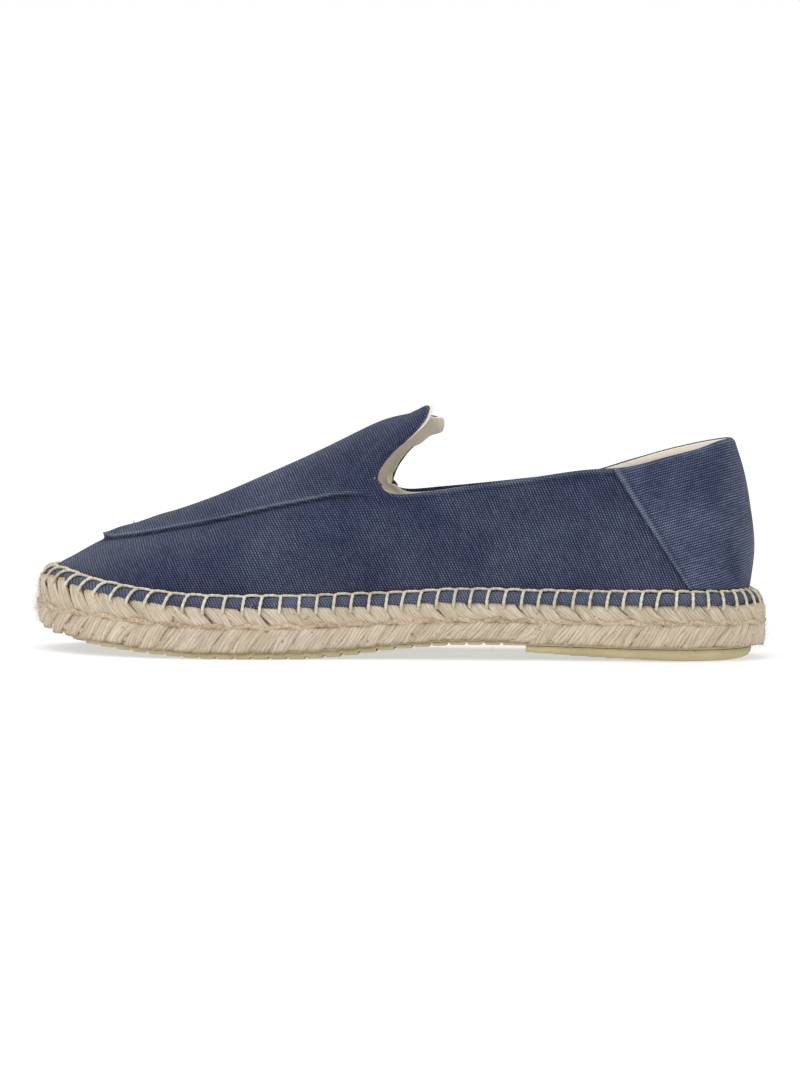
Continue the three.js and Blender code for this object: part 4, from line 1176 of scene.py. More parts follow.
def flat_pattern(side):
    """Lays one side of the upper out flat in mm: first with its angles kept, then, in rounds, with
    its lengths kept too, and at last turned to how the side view shows it."""
    step = 1 / PATTERN_STEPS
    places, levels = np.arange(0, LAST_SECTION + 0.1, step), np.arange(0, 4.01, step)
    grid, _ = side_sheet(side, places, levels, hem=False)
    rows, columns = grid.shape[:2]
    points = grid.reshape(-1, 3)
    quads = grid_faces(rows, columns, False)
    triangles = np.concatenate([quads[:, [0, 1, 2]], quads[:, [0, 2, 3]]])
    a, b, c = (points[triangles[:, k]] for k in range(3))
    u = b - a
    width = np.linalg.norm(u, axis=1)
    normal = np.cross(u, c - a)
    area = np.linalg.norm(normal, axis=1)
    sound = (area > 1e-3) & (width > 1e-3)
    triangles, a, c, u, width, normal, area = (
        part[sound] for part in (triangles, a, c, u, width, normal, area))
    u = u / width[:, None]
    v = np.cross(normal / area[:, None], u)
    cx, cy = np.sum((c - a) * u, axis=1), np.sum((c - a) * v, axis=1)
    local = np.stack([np.zeros_like(width) + 0j, width + 0j, cx + 1j * cy], axis=1)
    weight = (np.roll(local, -2, axis=1) - np.roll(local, -1, axis=1)) / np.sqrt(area)[:, None]
    count = len(points)
    matrix = np.zeros((2 * len(triangles), 2 * count))
    row = np.arange(len(triangles))
    for k in range(3):
        at, real, turned = triangles[:, k], weight[:, k].real, weight[:, k].imag
        matrix[row, at] += real
        matrix[row, count + at] -= turned
        matrix[len(triangles) + row, at] += turned
        matrix[len(triangles) + row, count + at] += real
    pins = [pin * PATTERN_STEPS * columns + PIN_COLUMN for pin in PIN_PLACES]
    known = np.array(pins + [pin + count for pin in pins])
    values = np.concatenate([points[pins, 0], points[pins, 2]])
    free = np.setdiff1d(np.arange(2 * count), known)
    target = -matrix[:, known] @ values
    left = matrix[:, free]
    solved = np.linalg.solve(left.T @ left + 1e-9 * np.eye(len(free)), left.T @ target)
    both = np.empty(2 * count)
    both[free], both[known] = solved, values
    flat = both[:count] + 1j * both[count:]
    ahead = triangles[:, [1, 2, 0]]
    next_corner, last_corner = local[:, [1, 2, 0]], local[:, [2, 0, 1]]
    edge, near, far = next_corner - local, local - last_corner, next_corner - last_corner
    spoke = near * np.conj(far)
    cot = np.clip(spoke.real / np.maximum(np.abs(spoke.imag), 1e-9), 0.05, 5)
    pull = np.zeros((count, count))
    for rows_at, columns_at, sign in (
            (triangles, triangles, 1), (ahead, ahead, 1), (triangles, ahead, -1),
            (ahead, triangles, -1)):
        np.add.at(pull, (rows_at, columns_at), sign * cot)
    inverse = np.linalg.inv(pull + 1e-6 * np.eye(count))
    for _ in range(RIGID_ROUNDS):
        turn = np.sum(cot * (flat[ahead] - flat[triangles]) * np.conj(edge), axis=1)
        force = cot * (turn / np.abs(turn))[:, None] * edge
        flat = np.zeros(count, complex)
        np.add.at(flat, ahead, force)
        np.subtract.at(flat, triangles, force)
        flat = inverse @ flat
    flat = np.conj(flat)
    seen = points[:, 0] + 1j * points[:, 2]
    own_row, own_column = triangles[:, 0] // columns, triangles[:, 0] % columns
    quarter = ((own_row > QUARTER_ROWS[0]) & (own_row < QUARTER_ROWS[1])
               & (own_column < QUARTER_COLUMNS))
    laid, shown = (line[ahead] - line[triangles] for line in (flat, seen))
    run = np.sum(laid[quarter] * np.conj(shown[quarter]))
    flat = flat * np.conj(run) / abs(run)
    flat = flat + np.mean((seen - flat)[CENTRED_ROWS[0] * columns:CENTRED_ROWS[1] * columns])
    return np.stack([flat.real, flat.imag], axis=-1).reshape(rows, columns, 2)


def read_pattern(pattern, place, level):
    """Bilinear reading of a flat pattern at places and levels."""
    r = np.clip(place * PATTERN_STEPS, 0, pattern.shape[0] - 1.001)
    c = np.clip(level * PATTERN_STEPS, 0, pattern.shape[1] - 1.001)
    i, j = r.astype(int), c.astype(int)
    s, t = (r - i)[..., None], (c - j)[..., None]
    return (pattern[i, j] * (1 - s) * (1 - t) + pattern[i + 1, j] * s * (1 - t)
            + pattern[i, j + 1] * (1 - s) * t + pattern[i + 1, j + 1] * s * t)


PATTERN = {side: flat_pattern(side) for side in (LATERAL, MEDIAL)}


def face_normals(points, faces):
    """The outward direction at each point, by the areas of the faces round it."""
    normals = np.zeros_like(points)
    four = np.array([face if len(face) == 4 else face + face[-1:] for face in faces])
    a, b, c, d = (points[four[:, k]] for k in range(4))
    normal = np.cross(c - a, d - b)
    for k in range(4):
        np.add.at(normals, four[:, k], normal)
    return normals / np.maximum(np.linalg.norm(normals, axis=1, keepdims=True), 1e-12)


def sheet_grid(places, levels, hem=True):
    """Both sides of the upper as one welded sheet: its points and faces, the place, level, side
    and turn of each point, and the map of each corner."""
    points, faces, uvs, facts = [], [], [], []
    for side in (LATERAL, MEDIAL):
        grid, turns = side_sheet(side, places, levels, hem)
        rows, columns = grid.shape[:2]
        start = len(points) * rows * columns
        quads = grid_faces(rows, columns, side == LATERAL, start)
        place = np.repeat(places[:, None], columns, axis=1)
        extra = columns - len(levels)
        level = np.concatenate([np.linspace(-1, -0.15, extra), levels])
        level = level[None, :] * np.ones((rows, 1))
        flat = read_pattern(PATTERN[side], place, np.clip(level, 0, 4))
        if extra:
            drop = np.linalg.norm(np.diff(grid[:, :extra + 1], axis=1), axis=2)
            flat[:, :extra, 1] -= np.cumsum(drop[:, ::-1], axis=1)[:, ::-1]
        points.append(grid.reshape(-1, 3))
        facts.append(np.stack([
            place.reshape(-1), level.reshape(-1), np.full(rows * columns, side),
            np.repeat(turns, columns)], axis=1))
        faces.append(quads)
        uvs.append(flat.reshape(-1, 2)[quads - start])
    points, faces, first, uvs = weld(
        np.concatenate(points), np.concatenate(faces), np.concatenate(uvs))
    return points, faces, np.concatenate(facts)[first], uvs


def bump_between(distance, width):
    """A soft bell: 1 on the line, 0 from width on."""
    return np.clip(1 - (distance / width) ** 2, 0, 1) ** 2


def segment_distance(points, a, b):
    """Distance in the side view (x, z) from a line between two places, with the share along it."""
    a, b = np.asarray(a, float), np.asarray(b, float)
    flat = points[:, [0, 2]] - a
    run = b - a
    share = np.clip(flat @ run / (run @ run), 0, 1)
    return np.linalg.norm(flat - share[:, None] * run, axis=1), share


def wall_lengths(side):
    """Length up the wall from the hem's top, at each point of the grid."""
    step = np.linalg.norm(np.diff(WALLS[side], axis=1), axis=2)
    return np.concatenate([np.zeros((len(step), 1)), np.cumsum(step, axis=1)], axis=1)


LENGTHS = {side: wall_lengths(side) for side in (LATERAL, MEDIAL)}


def wall_distance(place, level, side, target):
    """Distance in mm up the wall from a level, positive above it."""
    found = np.zeros(len(place))
    for hand in (LATERAL, MEDIAL):
        chosen = side == hand
        length = LENGTHS[hand] - LENGTHS[hand][:, [int(round(target * GRID_LEVEL))]]
        i, j, s, t = grid_cell(place[chosen], level[chosen])
        found[chosen] = ((length[i, j] * (1 - t) + length[i, j + 1] * t) * (1 - s)
                         + (length[i + 1, j] * (1 - t) + length[i + 1, j + 1] * t) * s)
    return found


# Soft creases in the side view: from (x, z) to (x, z), width, height (troughs below zero)
CREASES = [
    ((-14, 60), (10, 57), 5.0, -0.7), ((-22, 66), (-4, 62.5), 4.0, 0.5),
    ((-30, 52), (2, 45), 9.0, -0.5), ((-60, 44), (-20, 36), 9.0, 0.45),
    ((4, 55), (30, 46), 8.0, -0.45), ((30, 60), (48, 36), 10.0, 0.4),
    ((58, 58), (72, 34), 9.0, -0.4), ((108, 62), (116, 34), 7.0, -0.5),
    ((124, 44), (129, 27), 4.5, -0.7), ((119, 40), (123, 27), 4.0, 0.5),
    ((92, 74), (120, 79), 4.0, -0.35), ((-96, 40), (-70, 35), 6.0, -0.35),
]


def crease_relief(points):
    """Soft troughs and ridges of the canvas, the same through counter and lining."""
    relief = np.zeros(len(points))
    for a, b, width, height in CREASES:
        distance, share = segment_distance(points, a, b)
        bell = np.exp(-(distance / (0.55 * width)) ** 2)
        relief += height * bell * np.sin(np.pi * (0.12 + 0.76 * share))
    return relief


# Place from the heel, and how far the apron's folded seam is raised: it runs out before the corner
# of the throat
SEAM_RUN = np.array([
    (10.5, 0), (12, 0.12), (13.2, 0.5), (14.5, 1), (26.4, 1), (27.4, 1.9), (LAST_SECTION, 1.9)])
# Distance in mm up from the seam, and share of its ridge
SEAM_LIP = np.array([
    (-0.32, 0), (-0.2, 0.35), (0, 0.8), (0.3, 1), (0.8, 1), (2, 0.85), (4, 0.6), (8, 0.3), (14, 0)])
# Distance in mm down from the edge, and height of its roll
EDGE_ROLL = np.array([
    (0, -0.35), (0.15, 0.1), (0.6, 0.42), (1.2, 0.42), (1.8, 0.3), (2.3, -0.06), (2.7, 0)])
SEAM_DITCH = 0.25
# The short ridge in the middle of the toe, below the apron: start, fade, height and half width
TOE_RIDGE_FROM, TOE_RIDGE_FADE, TOE_RIDGE, TOE_RIDGE_HALF = 104, 5, 0.75, 1.6
PILLOW, PILLOW_SINK = 0.5, 0.25


def table_at(table, value):
    return np.interp(value, table[:, 0], table[:, 1])


def upper_relief(points, facts):
    """How far each point stands out from the plain form, its marks of pale wear and painted
    highlight, and its mark of painted shade.
    """
    place, level, side, turn = facts.T
    on_wall = np.where(level >= 0, 1.0, 0.0)
    seam = table_at(SEAM_RUN, place) * on_wall
    above = wall_distance(place, level, side, 2.0)
    ditch = SEAM_DITCH * seam * bump_between(above + 1.1, 1.0)
    relief = seam * APRON_RIDGE * table_at(SEAM_LIP, above) - ditch
    seam = np.minimum(seam, 1)
    # Painted highlight: a pale band along the seam's folded lip, as if lit from above.
    wear_and_highlight = 0.9 * seam * bump_between(above - 0.75, 1.3)
    # Painted shade: a dark line just under the lip and a soft shadow spreading down from it.
    shade = np.where(above < 0, 0.42 * np.exp(above / 2.0), 0)
    painted_shade = seam * np.maximum(0.85 * bump_between(above + 0.35, 0.65), shade)
    below = wall_distance(place, level, side, 4.0)
    edge = np.where(place < RIDGE_START + 0.02, on_wall, 0.0)
    relief += edge * table_at(EDGE_ROLL, -below)
    # Painted shade in a line under the edge's roll; the pale band on the roll's top is wear
    # together with painted highlight.
    painted_shade = np.maximum(painted_shade, edge * 0.4 * bump_between(below + 2.3, 0.6))
    wear_and_highlight = np.maximum(wear_and_highlight, edge * 0.6 * bump_between(below + 0.9, 1.1))
    middle = np.abs(points[:, 1] - centre_y(0.5 - points[:, 0] / SHOE_LENGTH))
    toe = np.clip((-points[:, 0] - TOE_RIDGE_FROM) / TOE_RIDGE_FADE, 0, 1)
    toe = toe * on_wall * (level < 2.05)
    relief += TOE_RIDGE * toe * np.exp(-(middle / TOE_RIDGE_HALF) ** 1.4)
    # Painted shade in the hollows either side of the toe ridge.
    painted_shade = np.maximum(painted_shade, 0.35 * toe * bump_between(middle - 2.0, 0.9))
    phase = np.interp(np.where(side == LATERAL, 1 - turn, 1 + turn), way, way_phase)
    pillow = np.abs(np.sin(np.pi * (phase - STITCH_SHIFT)))
    hem = np.where(level < 0, np.clip((level + 1) / 0.3, 0, 1) * np.clip(-level / 0.2, 0, 1), 0)
    relief += hem * (PILLOW * pillow ** 0.7 - PILLOW_SINK)
    wear_and_highlight = np.maximum(wear_and_highlight, np.where(level < 0, 0.35 + 0.25 * pillow, 0))
    near_hem = wall_distance(place, level, side, 0.0)
    # Painted shade: a dark line along the hem's top, where the stitches pull the canvas in.
    painted_shade = np.maximum(painted_shade, on_wall * 0.75 * bump_between(near_hem, 1.3))
    relief -= on_wall * (0.25 + 0.2 * (1 - pillow)) * bump_between(near_hem, 2.2)
    return relief + crease_relief(points) * on_wall, wear_and_highlight, painted_shade


def give_wall(piece, thickness):
    """Thickens a sheet inwards to its cloth's thickness in mm."""
    modifier = piece.modifiers.new("cloth", "SOLIDIFY")
    modifier.thickness = thickness * MM
    modifier.offset = -1


CANVAS_TURN, COUNTER_TURN = math.radians(-114), math.radians(-18)
canvas = cloth_material(
    "washed_canvas", CANVAS_TURN, (0.0139, 0.0171, 0.0417, 1), (0.1, 0.117, 0.186, 1),
    (0.68, 0.71, 0.82, 1), (1.32, 1.3, 1.2, 1), (0.19, 0.215, 0.29, 1))
counter_canvas = cloth_material(
    "washed_canvas_counter", COUNTER_TURN, (0.0202, 0.026, 0.0594, 1), (0.1344, 0.16, 0.2417, 1),
    (0.6, 0.63, 0.74, 1), (1.42, 1.4, 1.28, 1), (0.22, 0.25, 0.33, 1), row=0.96, dot=0.49,
    stripe=1.0)

# Rows of the canvas up the wall, closer at the seam and at the edge
SEAM_ROWS = 2.0 + np.array(
    [-0.12, -0.06, -0.035, -0.02, -0.01, 0.0, 0.015, 0.035, 0.06, 0.09, 0.13])
EDGE_ROWS = 4.0 - np.array([0.16, 0.125, 0.1, 0.075, 0.05, 0.03, 0.015, 0.0])
wall_levels = np.concatenate([
    np.linspace(0, 0.2, 5), np.linspace(0.3, 1.8, 14), SEAM_ROWS, np.linspace(2.22, 3.75, 13),
    EDGE_ROWS])
wall_places = np.linspace(0, LAST_SECTION, LAST_SECTION * 10 + 1)
points, faces, facts, uvs = sheet_grid(wall_places, wall_levels)
relief, wear_and_highlight, painted_shade = upper_relief(points, facts)
normals = face_normals(points, faces)
points = points + normals * relief[:, None]
sides = [(face[k - 1], face[k]) for face in faces for k in range(len(face))]
sides = np.unique(np.sort(sides, axis=1), axis=0)
tip_mask = calm(facts[:, 0], 26.8, 27.6) * np.where(facts[:, 1] > 0.5, 1.0, 0.0)
points = eased(points, sides, tip_mask, 5)
canvas_upper = mesh_piece("canvas_upper", points, faces, canvas, uvs, {"wear_and_highlight": wear_and_highlight, "painted_shade": painted_shade})
give_wall(canvas_upper, CANVAS_THICKNESS)
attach(canvas_upper, "root")
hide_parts("upper")


# Heel counter
# A second layer of the same canvas over the heel, cut with its rows along the collar and turned
# under at its slanting front edge, where it is sewn down.

COUNTER_THICKNESS = 0.8
# Top and foot of its front edge in the side view, and the sections it can reach over
COUNTER_TOP, COUNTER_FOOT = (81.5, 72.8), (110.9, 27.6)
COUNTER_SECTIONS = 9


def counter_front(side):
    """Place of the counter's front edge at each grid level, straight in the side view."""
    lean, rise = np.subtract(COUNTER_TOP, COUNTER_FOOT)
    line = COUNTER_FOOT[0] + lean * (WALLS[side][:, :, 2] - COUNTER_FOOT[1]) / rise
    ahead = WALLS[side][:, :, 0] - line
    rows = COUNTER_SECTIONS * GRID_PLACE
    return np.array([
        np.interp(0, -ahead[:rows, k], grid_places[:rows]) for k in range(len(grid_levels))])


def counter_sheet(steps, levels):
    """Both sides of the counter as one welded sheet, with place, level, side and the share of the
    way to its front edge."""
    points, faces, uvs, marks = [], [], [], []
    share = np.linspace(0, 1, steps)
    for side in (LATERAL, MEDIAL):
        s, level = [g.reshape(-1) for g in np.meshgrid(share, levels, indexing="ij")]
        place = np.interp(level, grid_levels, counter_front(side)) * s
        found, _ = wall(side, place, level)
        start = len(points) * len(s)
        quads = grid_faces(steps, len(levels), side == LATERAL, start)
        points.append(found)
        uvs.append(read_pattern(PATTERN[side], place, level)[quads - start])
        marks.append(np.stack([place, level, np.full(len(s), side), s], axis=1))
        faces.append(quads)
    points, faces, first, uvs = weld(
        np.concatenate(points), np.concatenate(faces), np.concatenate(uvs))
    return points, faces, np.concatenate(marks)[first], uvs


counter_levels = np.concatenate([
    np.linspace(0.08, 0.3, 5), np.linspace(0.4, 3.7, 30), [3.8, 3.86, 3.9, 3.93, 3.95]])
points, faces, marks, uvs = counter_sheet(90, counter_levels)
normals = face_normals(points, faces)
front = 1 - marks[:, 3]
relief = np.full(len(points), SEAT_GAP + COUNTER_THICKNESS)
top_gap = wall_distance(marks[:, 0], marks[:, 1], marks[:, 2], 4.0)
relief -= 0.55 * bump_between(top_gap + 0.4, 1.4)
relief += crease_relief(points) + 0.25 * bump_between(front - 0.025, 0.03)
points = points + normals * relief[:, None]
mid_height = 0.35 + 0.65 * bump_between(marks[:, 1] - 2.6, 1.6)
# A pale rim along the turned front edge, strongest at mid height, and a pale band under the top
# edge: wear together with painted highlight.
rim_wear_and_highlight = 1.25 * mid_height * bump_between(front - 0.014, 0.02)
wear_and_highlight = rim_wear_and_highlight + 0.35 * bump_between(top_gap + 1.0, 1.2)
# Painted shade: a dark line at the turned front edge and a softer one a little behind it.
painted_shade = np.maximum(0.45 * bump_between(front - 0.04, 0.016), 0.85 * bump_between(front, 0.009))
counter = mesh_piece(
    "heel_counter_panel", points, faces, counter_canvas, uvs, {"wear_and_highlight": wear_and_highlight, "painted_shade": painted_shade})
give_wall(counter, COUNTER_THICKNESS)
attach(counter, "root")
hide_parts("heel_counter")


# Lining
# Cream cotton inside the whole upper, sewn to the canvas at collar and throat, where its edge
# shows as a fine pale line.

lining_cloth = cloth_material(
    "lining_cotton", CANVAS_TURN, (0.76, 0.70, 0.62, 1), (0.80, 0.745, 0.665, 1),
    (0.94, 0.93, 0.9, 1),
    (1.03, 1.03, 1.02, 1), (0.92, 0.9, 0.86, 1), row=0.7, dot=0.4, bump=0.0, slubs=0.1)
lining_shader = lining_cloth.node_tree.nodes["Principled BSDF"]
# Painted light: the lining glows a little, so its inside shows bright where the upper shades it.
lining_shader.inputs["Emission Color"].default_value = (0.85, 0.79, 0.68, 1)
lining_shader.inputs["Emission Strength"].default_value = 0.1
LINING_THICKNESS = 0.5
# Depth under the canvas's outer face, on the wall and at the edge, which is this wide
LINING_DEPTH, LINING_EDGE_DEPTH, LINING_EDGE = 1.0, 0.6, 2.2
# How far the lining's edge shows past the canvas: near throat, far throat, near collar
LIP_THROAT, LIP_THROAT_FAR, LIP_COLLAR = 0.9, 1.7, -0.3
# Place, and how far down the far collar's canvas facing reaches
FACING = np.array([(0, 0.4), (4.5, 0.4), (5, 0.5), (6, 0.5), (6.6, 1.6), (9.5, 1.6), (10.5, 0.5)])
points, faces, facts, uvs = sheet_grid(
    np.linspace(0, LAST_SECTION, LAST_SECTION * 6 + 1),
    np.concatenate([np.linspace(0, 3.5, 30), np.linspace(3.6, 4, 9)]), hem=False)
normals = face_normals(points, faces)
place, level, side = facts[:, 0], facts[:, 1], facts[:, 2]
reach = -wall_distance(place, level, side, 4.0)
at_edge = np.where(place < RIDGE_START + 0.02, np.clip(1 - reach / LINING_EDGE, 0, 1), 0)
sunk = crease_relief(points) - LINING_DEPTH + (LINING_DEPTH - LINING_EDGE_DEPTH) * at_edge
points = points + normals * sunk[:, None]
throat = calm(place, 9.8, 11.2)
throat_lip = np.where(side == LATERAL, LIP_THROAT, LIP_THROAT_FAR)
near_lip = LIP_COLLAR + 0.4 * calm(place, 7, 8.5)
collar_lip = np.where(side == LATERAL, near_lip, -table_at(FACING, place))
tall = collar_lip + (throat_lip - collar_lip) * throat
edge_way = np.zeros_like(points)
for hand in (LATERAL, MEDIAL):
    run = np.gradient(WALLS[hand][:, -1], axis=0)
    chosen = side == hand
    edge_way[chosen] = np.stack([
        np.interp(place[chosen], grid_places, run[:, axis]) for axis in range(3)], axis=1)
lip_way = -side[:, None] * np.cross(edge_way, normals)
lip_way /= np.maximum(np.linalg.norm(lip_way, axis=1, keepdims=True), 1e-9)
points += lip_way * (tall * at_edge)[:, None]
lining = mesh_piece("cotton_lining", points, faces, lining_cloth, uvs)
give_wall(lining, LINING_THICKNESS)
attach(lining, "root")
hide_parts("upper")


# Blanket stitch
# Waxed cream thread that sews the hem to the braid: each leg comes up out of the braid, over the
# hem, and turns along its top to the next stitch.

thread_cotton = strand_material("waxed_thread", (0.74, 0.69, 0.54, 1), (0.5, 0.45, 0.33, 1), 0.0012)
# Inset from the outline and height over the sole's top, from the braid up to the node
LEG = np.array([
    (2.2, -0.9), (0.7, -0.7), (-0.5, -0.2), (-0.9, 0.5), (-0.85, 1.3), (-0.5, 2.3), (-0.1, 3.2),
    (0.6, 4.3), (1.7, 5.35), (3.3, 6.0)])
TOP_INSET, TOP_HEIGHT, TOP_POINTS = 4.1, 6.0, 6
# Backward lean of a leg in stitches, along the sides and how much more at the toe
LEG_LEAN, LEG_LEAN_TOE = 0.2, 0.26
STITCH_SEED = 31
rng = np.random.default_rng(STITCH_SEED)
stitches = []
for k in range(STITCHES):
    node, onward = k + STITCH_SHIFT + rng.uniform(-0.03, 0.03), k + 1 + STITCH_SHIFT
    side, turn = way_at(np.array([node]))
    toe = float(np.clip((along_at(turn[0]) - 0.72) / 0.2, 0, 1))
    lean = (LEG_LEAN + LEG_LEAN_TOE * toe) * (1 if side[0] == LATERAL else -1)
    sweep = lean + rng.uniform(-0.05, 0.05)
    climb = np.linspace(0, 1, len(LEG))
    phases = node - sweep * (1 - climb ** (3.0 - toe))
    leg = round_rim(phases, LEG[:, 0] + end_set(turn), sole_top)
    leg[:, 2] += LEG[:, 1]
    over = np.linspace(0.12, 1.02, TOP_POINTS)
    top_inset = np.full(TOP_POINTS, TOP_INSET) + 0.5 * over + end_set(turn)
    top = round_rim(node + over * (onward - node), top_inset, sole_top)
    arch = 0.25 + 0.25 * rng.uniform(-1, 1)
    top[:, 2] += TOP_HEIGHT - 0.4 * over + arch * np.sin(np.pi * over)
    stitches.append(np.concatenate([leg, top]))
stitch_row = grown("hem_stitches", guide_lines("stitch_guide", stitches), thread_tree, {
    "Radius": 0.0006, "Twist per metre": 1300.0, "Step": 0.00055, "Lobes": 2.0, "Lobe depth": 0.12,
    "Sides": 8, "Material": thread_cotton}, thread_cotton)
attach(stitch_row, "root")


# Loose jute fibres
# Fine hairs that have worked out of the braid, thickest at the toe, the heel and the lower edge.

hair_jute, hair_nodes, hair_shader = new_material(
    "jute_hair", roughness=0.8, specular_ior_level=0.2)
hair_noise = noise(hair_nodes, object_place(hair_nodes), 400.0, 2.0)
hair_colour = dyed(hair_nodes, hair_noise, (0.6, 0.51, 0.4, 1), (0.86, 0.8, 0.7, 1))
hair_nodes.links.new(hair_colour, hair_shader.inputs["Base Color"])

HAIR_LENGTH, HAIR_RADIUS, HAIR_SIDES, HAIR_RINGS = 5.0, 0.06, 3, 5
bend = np.linspace(0, 1, HAIR_RINGS)
spine = np.stack([HAIR_LENGTH * bend, 0.9 * np.sin(2.2 * bend), 1.4 * bend ** 2], axis=1)
hair_points, hair_faces = [], []
for i, centre in enumerate(spine):
    size = HAIR_RADIUS * (1 - 0.6 * bend[i])
    for j in range(HAIR_SIDES):
        turn_by = 2 * math.pi * j / HAIR_SIDES
        hair_points.append(centre + size * np.array([0, math.cos(turn_by), math.sin(turn_by)]))
for i in range(HAIR_RINGS - 1):
    for j in range(HAIR_SIDES):
        k, ring_start = (j + 1) % HAIR_SIDES, HAIR_SIDES * i
        above = ring_start + HAIR_SIDES
        hair_faces.append([ring_start + j, ring_start + k, above + k, above + j])
tip_start = HAIR_SIDES * (HAIR_RINGS - 1)
hair_faces += [[2, 1, 0], [tip_start, tip_start + 1, tip_start + 2]]
hair_form = mesh_piece("hair_form", hair_points, hair_faces, hair_jute)

fuzz_tree, fuzz_in, fuzz_out = group_with(
    "GeometryNodeTree", "loose_fibres",
    [("Geometry", GEOMETRY, None), ("Hair", OBJECT, None), ("Density", FLOAT, 20000.0),
     ("Seed", INTEGER, 3), ("Material", MATERIAL, None)],
    [("Geometry", GEOMETRY, None)])
shag = put(fuzz_tree, "GeometryNodeInputNamedAttribute", {"Name": "shag"}, data_type="FLOAT")
sown = put(fuzz_tree, "GeometryNodeDistributePointsOnFaces", {
    "Mesh": fuzz_in.outputs[0], "Seed": fuzz_in.outputs["Seed"],
    "Density": sum_up(fuzz_tree, "MULTIPLY", shag.outputs[0], fuzz_in.outputs["Density"])})
hair_info = put(fuzz_tree, "GeometryNodeObjectInfo", {
    "Object": fuzz_in.outputs["Hair"], "As Instance": True})
spin = put(fuzz_tree, "FunctionNodeRandomValue", {
    0: (-0.9, -0.5, -3.1), 1: (0.9, 0.5, 3.1), "Seed": fuzz_in.outputs["Seed"]},
    data_type="FLOAT_VECTOR")
size = put(fuzz_tree, "FunctionNodeRandomValue", {
    2: 0.35, 3: 1.45, "Seed": sum_up(fuzz_tree, "ADD", fuzz_in.outputs["Seed"], 4.0)},
    data_type="FLOAT")
hairs = put(fuzz_tree, "GeometryNodeInstanceOnPoints", {
    "Points": sown.outputs["Points"], "Instance": hair_info.outputs["Geometry"],
    "Rotation": sown.outputs["Rotation"], "Scale": size.outputs[1]})
swirl = put(fuzz_tree, "GeometryNodeRotateInstances", {
    "Instances": hairs.outputs[0], "Rotation": spin.outputs[0], "Local Space": True})
close_tree(fuzz_tree, swirl, fuzz_in, fuzz_out)

# The face of the braid that the hairs grow from: level, inset, and how many hairs grow there
GROUND = ((0.02, 1.0, 2.0), (0.2, 0.1, 1.0), (0.45, 0.6, 1.1), (0.6, 0.8, 1.0), (0.85, 0.0, 0.8))
GROUND_STATIONS = 200
HAIR_DENSITY, HAIR_SEED = 260000.0, 3
SHAG_TOE, SHAG_HEEL = 6.0, 0.8
ground = np.stack([
    round_rim(np.linspace(0, STITCHES, GROUND_STATIONS), np.full(GROUND_STATIONS, inset),
              lambda along, share=level: jute_height(along, share))
    for level, inset, _ in GROUND], axis=1)
ground_mesh = bpy.data.meshes.new("fibre_ground")
ground_mesh.from_pydata((ground.reshape(-1, 3) * MM).tolist(), [],
                        grid_faces(GROUND_STATIONS, len(GROUND), False).tolist())
ground_along = 0.5 - ground[:, :, 0] / SHOE_LENGTH
shag_marks = (1 + SHAG_TOE * np.clip((ground_along - 0.92) / 0.06, 0, 1)
              + SHAG_HEEL * np.clip((0.06 - ground_along) / 0.05, 0, 1))
shag_marks *= np.array([many for _, _, many in GROUND])[None, :]
set_marks(ground_mesh, {"shag": shag_marks})
fuzz = grown("loose_fibres", linked("fibre_ground", ground_mesh), fuzz_tree, {
    "Hair": hair_form, "Density": HAIR_DENSITY, "Seed": HAIR_SEED, "Material": hair_jute},
    hair_jute)
bpy.data.objects.remove(hair_form)
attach(fuzz, "root")


# Studio
# A plain pale floor, an even white surround, a large soft light above and a weaker one in front.

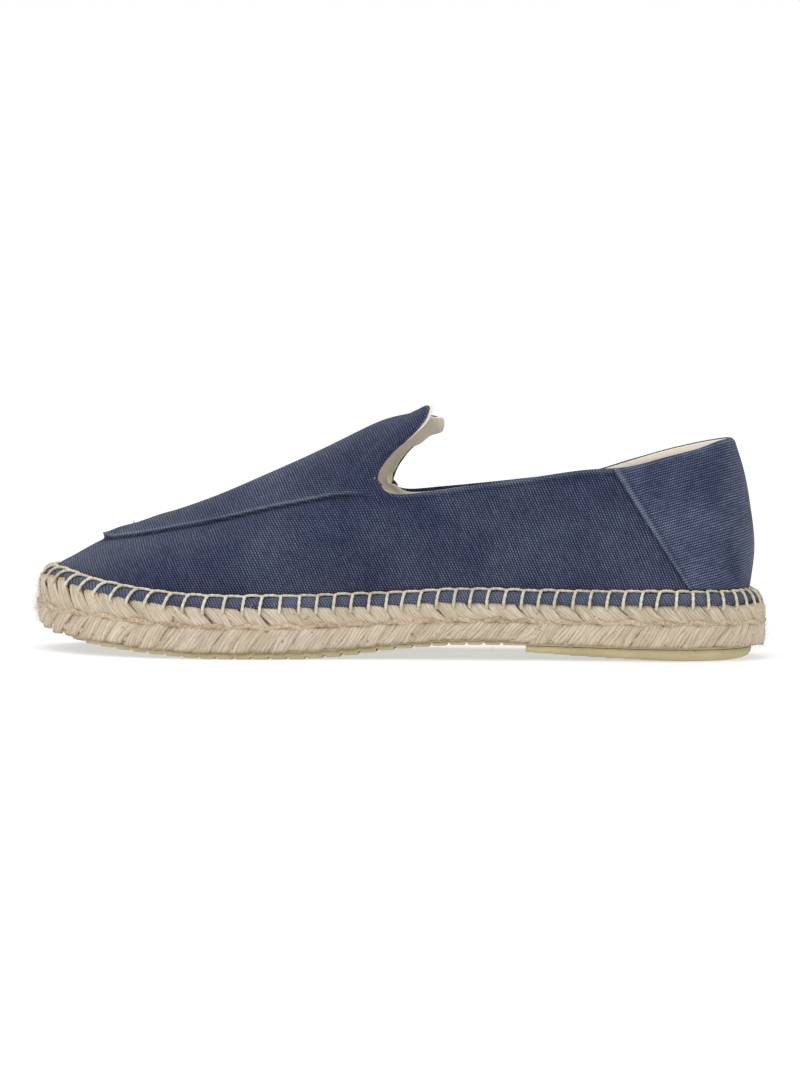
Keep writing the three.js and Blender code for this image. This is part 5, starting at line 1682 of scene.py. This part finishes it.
floor_mesh = bpy.data.meshes.new("floor")
floor_mesh.from_pydata([(-6, -6, 0), (6, -6, 0), (6, 6, 0), (-6, 6, 0)], [], [(0, 1, 2, 3)])
pale, _, pale_shader = new_material("pale_floor", roughness=0.9, specular_ior_level=0.0)
pale_shader.inputs["Base Color"].default_value = (0.5, 0.5, 0.5, 1)
pale_shader.inputs["Emission Color"].default_value = (1, 1, 1, 1)
pale_shader.inputs["Emission Strength"].default_value = 0.52
floor_mesh.materials.append(pale)
floor = linked("floor", floor_mesh)

world = bpy.data.worlds.new("studio")
bpy.context.scene.world = world
world.use_nodes = True
world.node_tree.nodes["Background"].inputs[0].default_value = (1, 1, 1, 1)
world.node_tree.nodes["Background"].inputs[1].default_value = 1.0
bpy.context.scene.view_settings.view_transform = "Standard"


LIT_POINT = np.array([0, 0, 0.04])


def soft_light(name, place, size, power):
    """A square area light that looks at the middle of the shoe."""
    lamp = bpy.data.lights.new(name, "AREA")
    lamp.size, lamp.energy = size, power
    light = linked(name, lamp)
    light.location = place
    aim = LIT_POINT - np.array(place)
    light.rotation_euler = Vector(aim).to_track_quat("-Z", "Y").to_euler()


soft_light("overhead", (-0.25, -0.35, 1.3), 1.0, 5.0)
soft_light("front", (-0.5, -1.5, 0.7), 1.2, 3.0)

AZIMUTH, ELEVATION, ROLL = math.radians(5), math.radians(2.5), math.radians(0.376)
DISTANCE, AIM = 1.5, np.array([0.527, 0.0, 45.679]) * MM
FOCAL_PIXELS, FRAME_HEIGHT = 3912.06, 1067
back = np.array([math.sin(AZIMUTH) * math.cos(ELEVATION),
                 -math.cos(AZIMUTH) * math.cos(ELEVATION), math.sin(ELEVATION)])
right = np.cross(-back, (0, 0, 1))
right /= np.linalg.norm(right)
up = np.cross(right, -back)
level_right = right
right = level_right * math.cos(ROLL) + up * math.sin(ROLL)
up = up * math.cos(ROLL) - level_right * math.sin(ROLL)
lens = bpy.data.cameras.new("camera")
lens.sensor_width = 36.0
lens.lens = FOCAL_PIXELS * lens.sensor_width / FRAME_HEIGHT
camera = linked("camera", lens)
facing = Matrix(np.stack([right, up, back], axis=1).tolist()).to_4x4()
camera.matrix_world = Matrix.Translation(AIM + back * DISTANCE) @ facing
bpy.context.scene.camera = camera
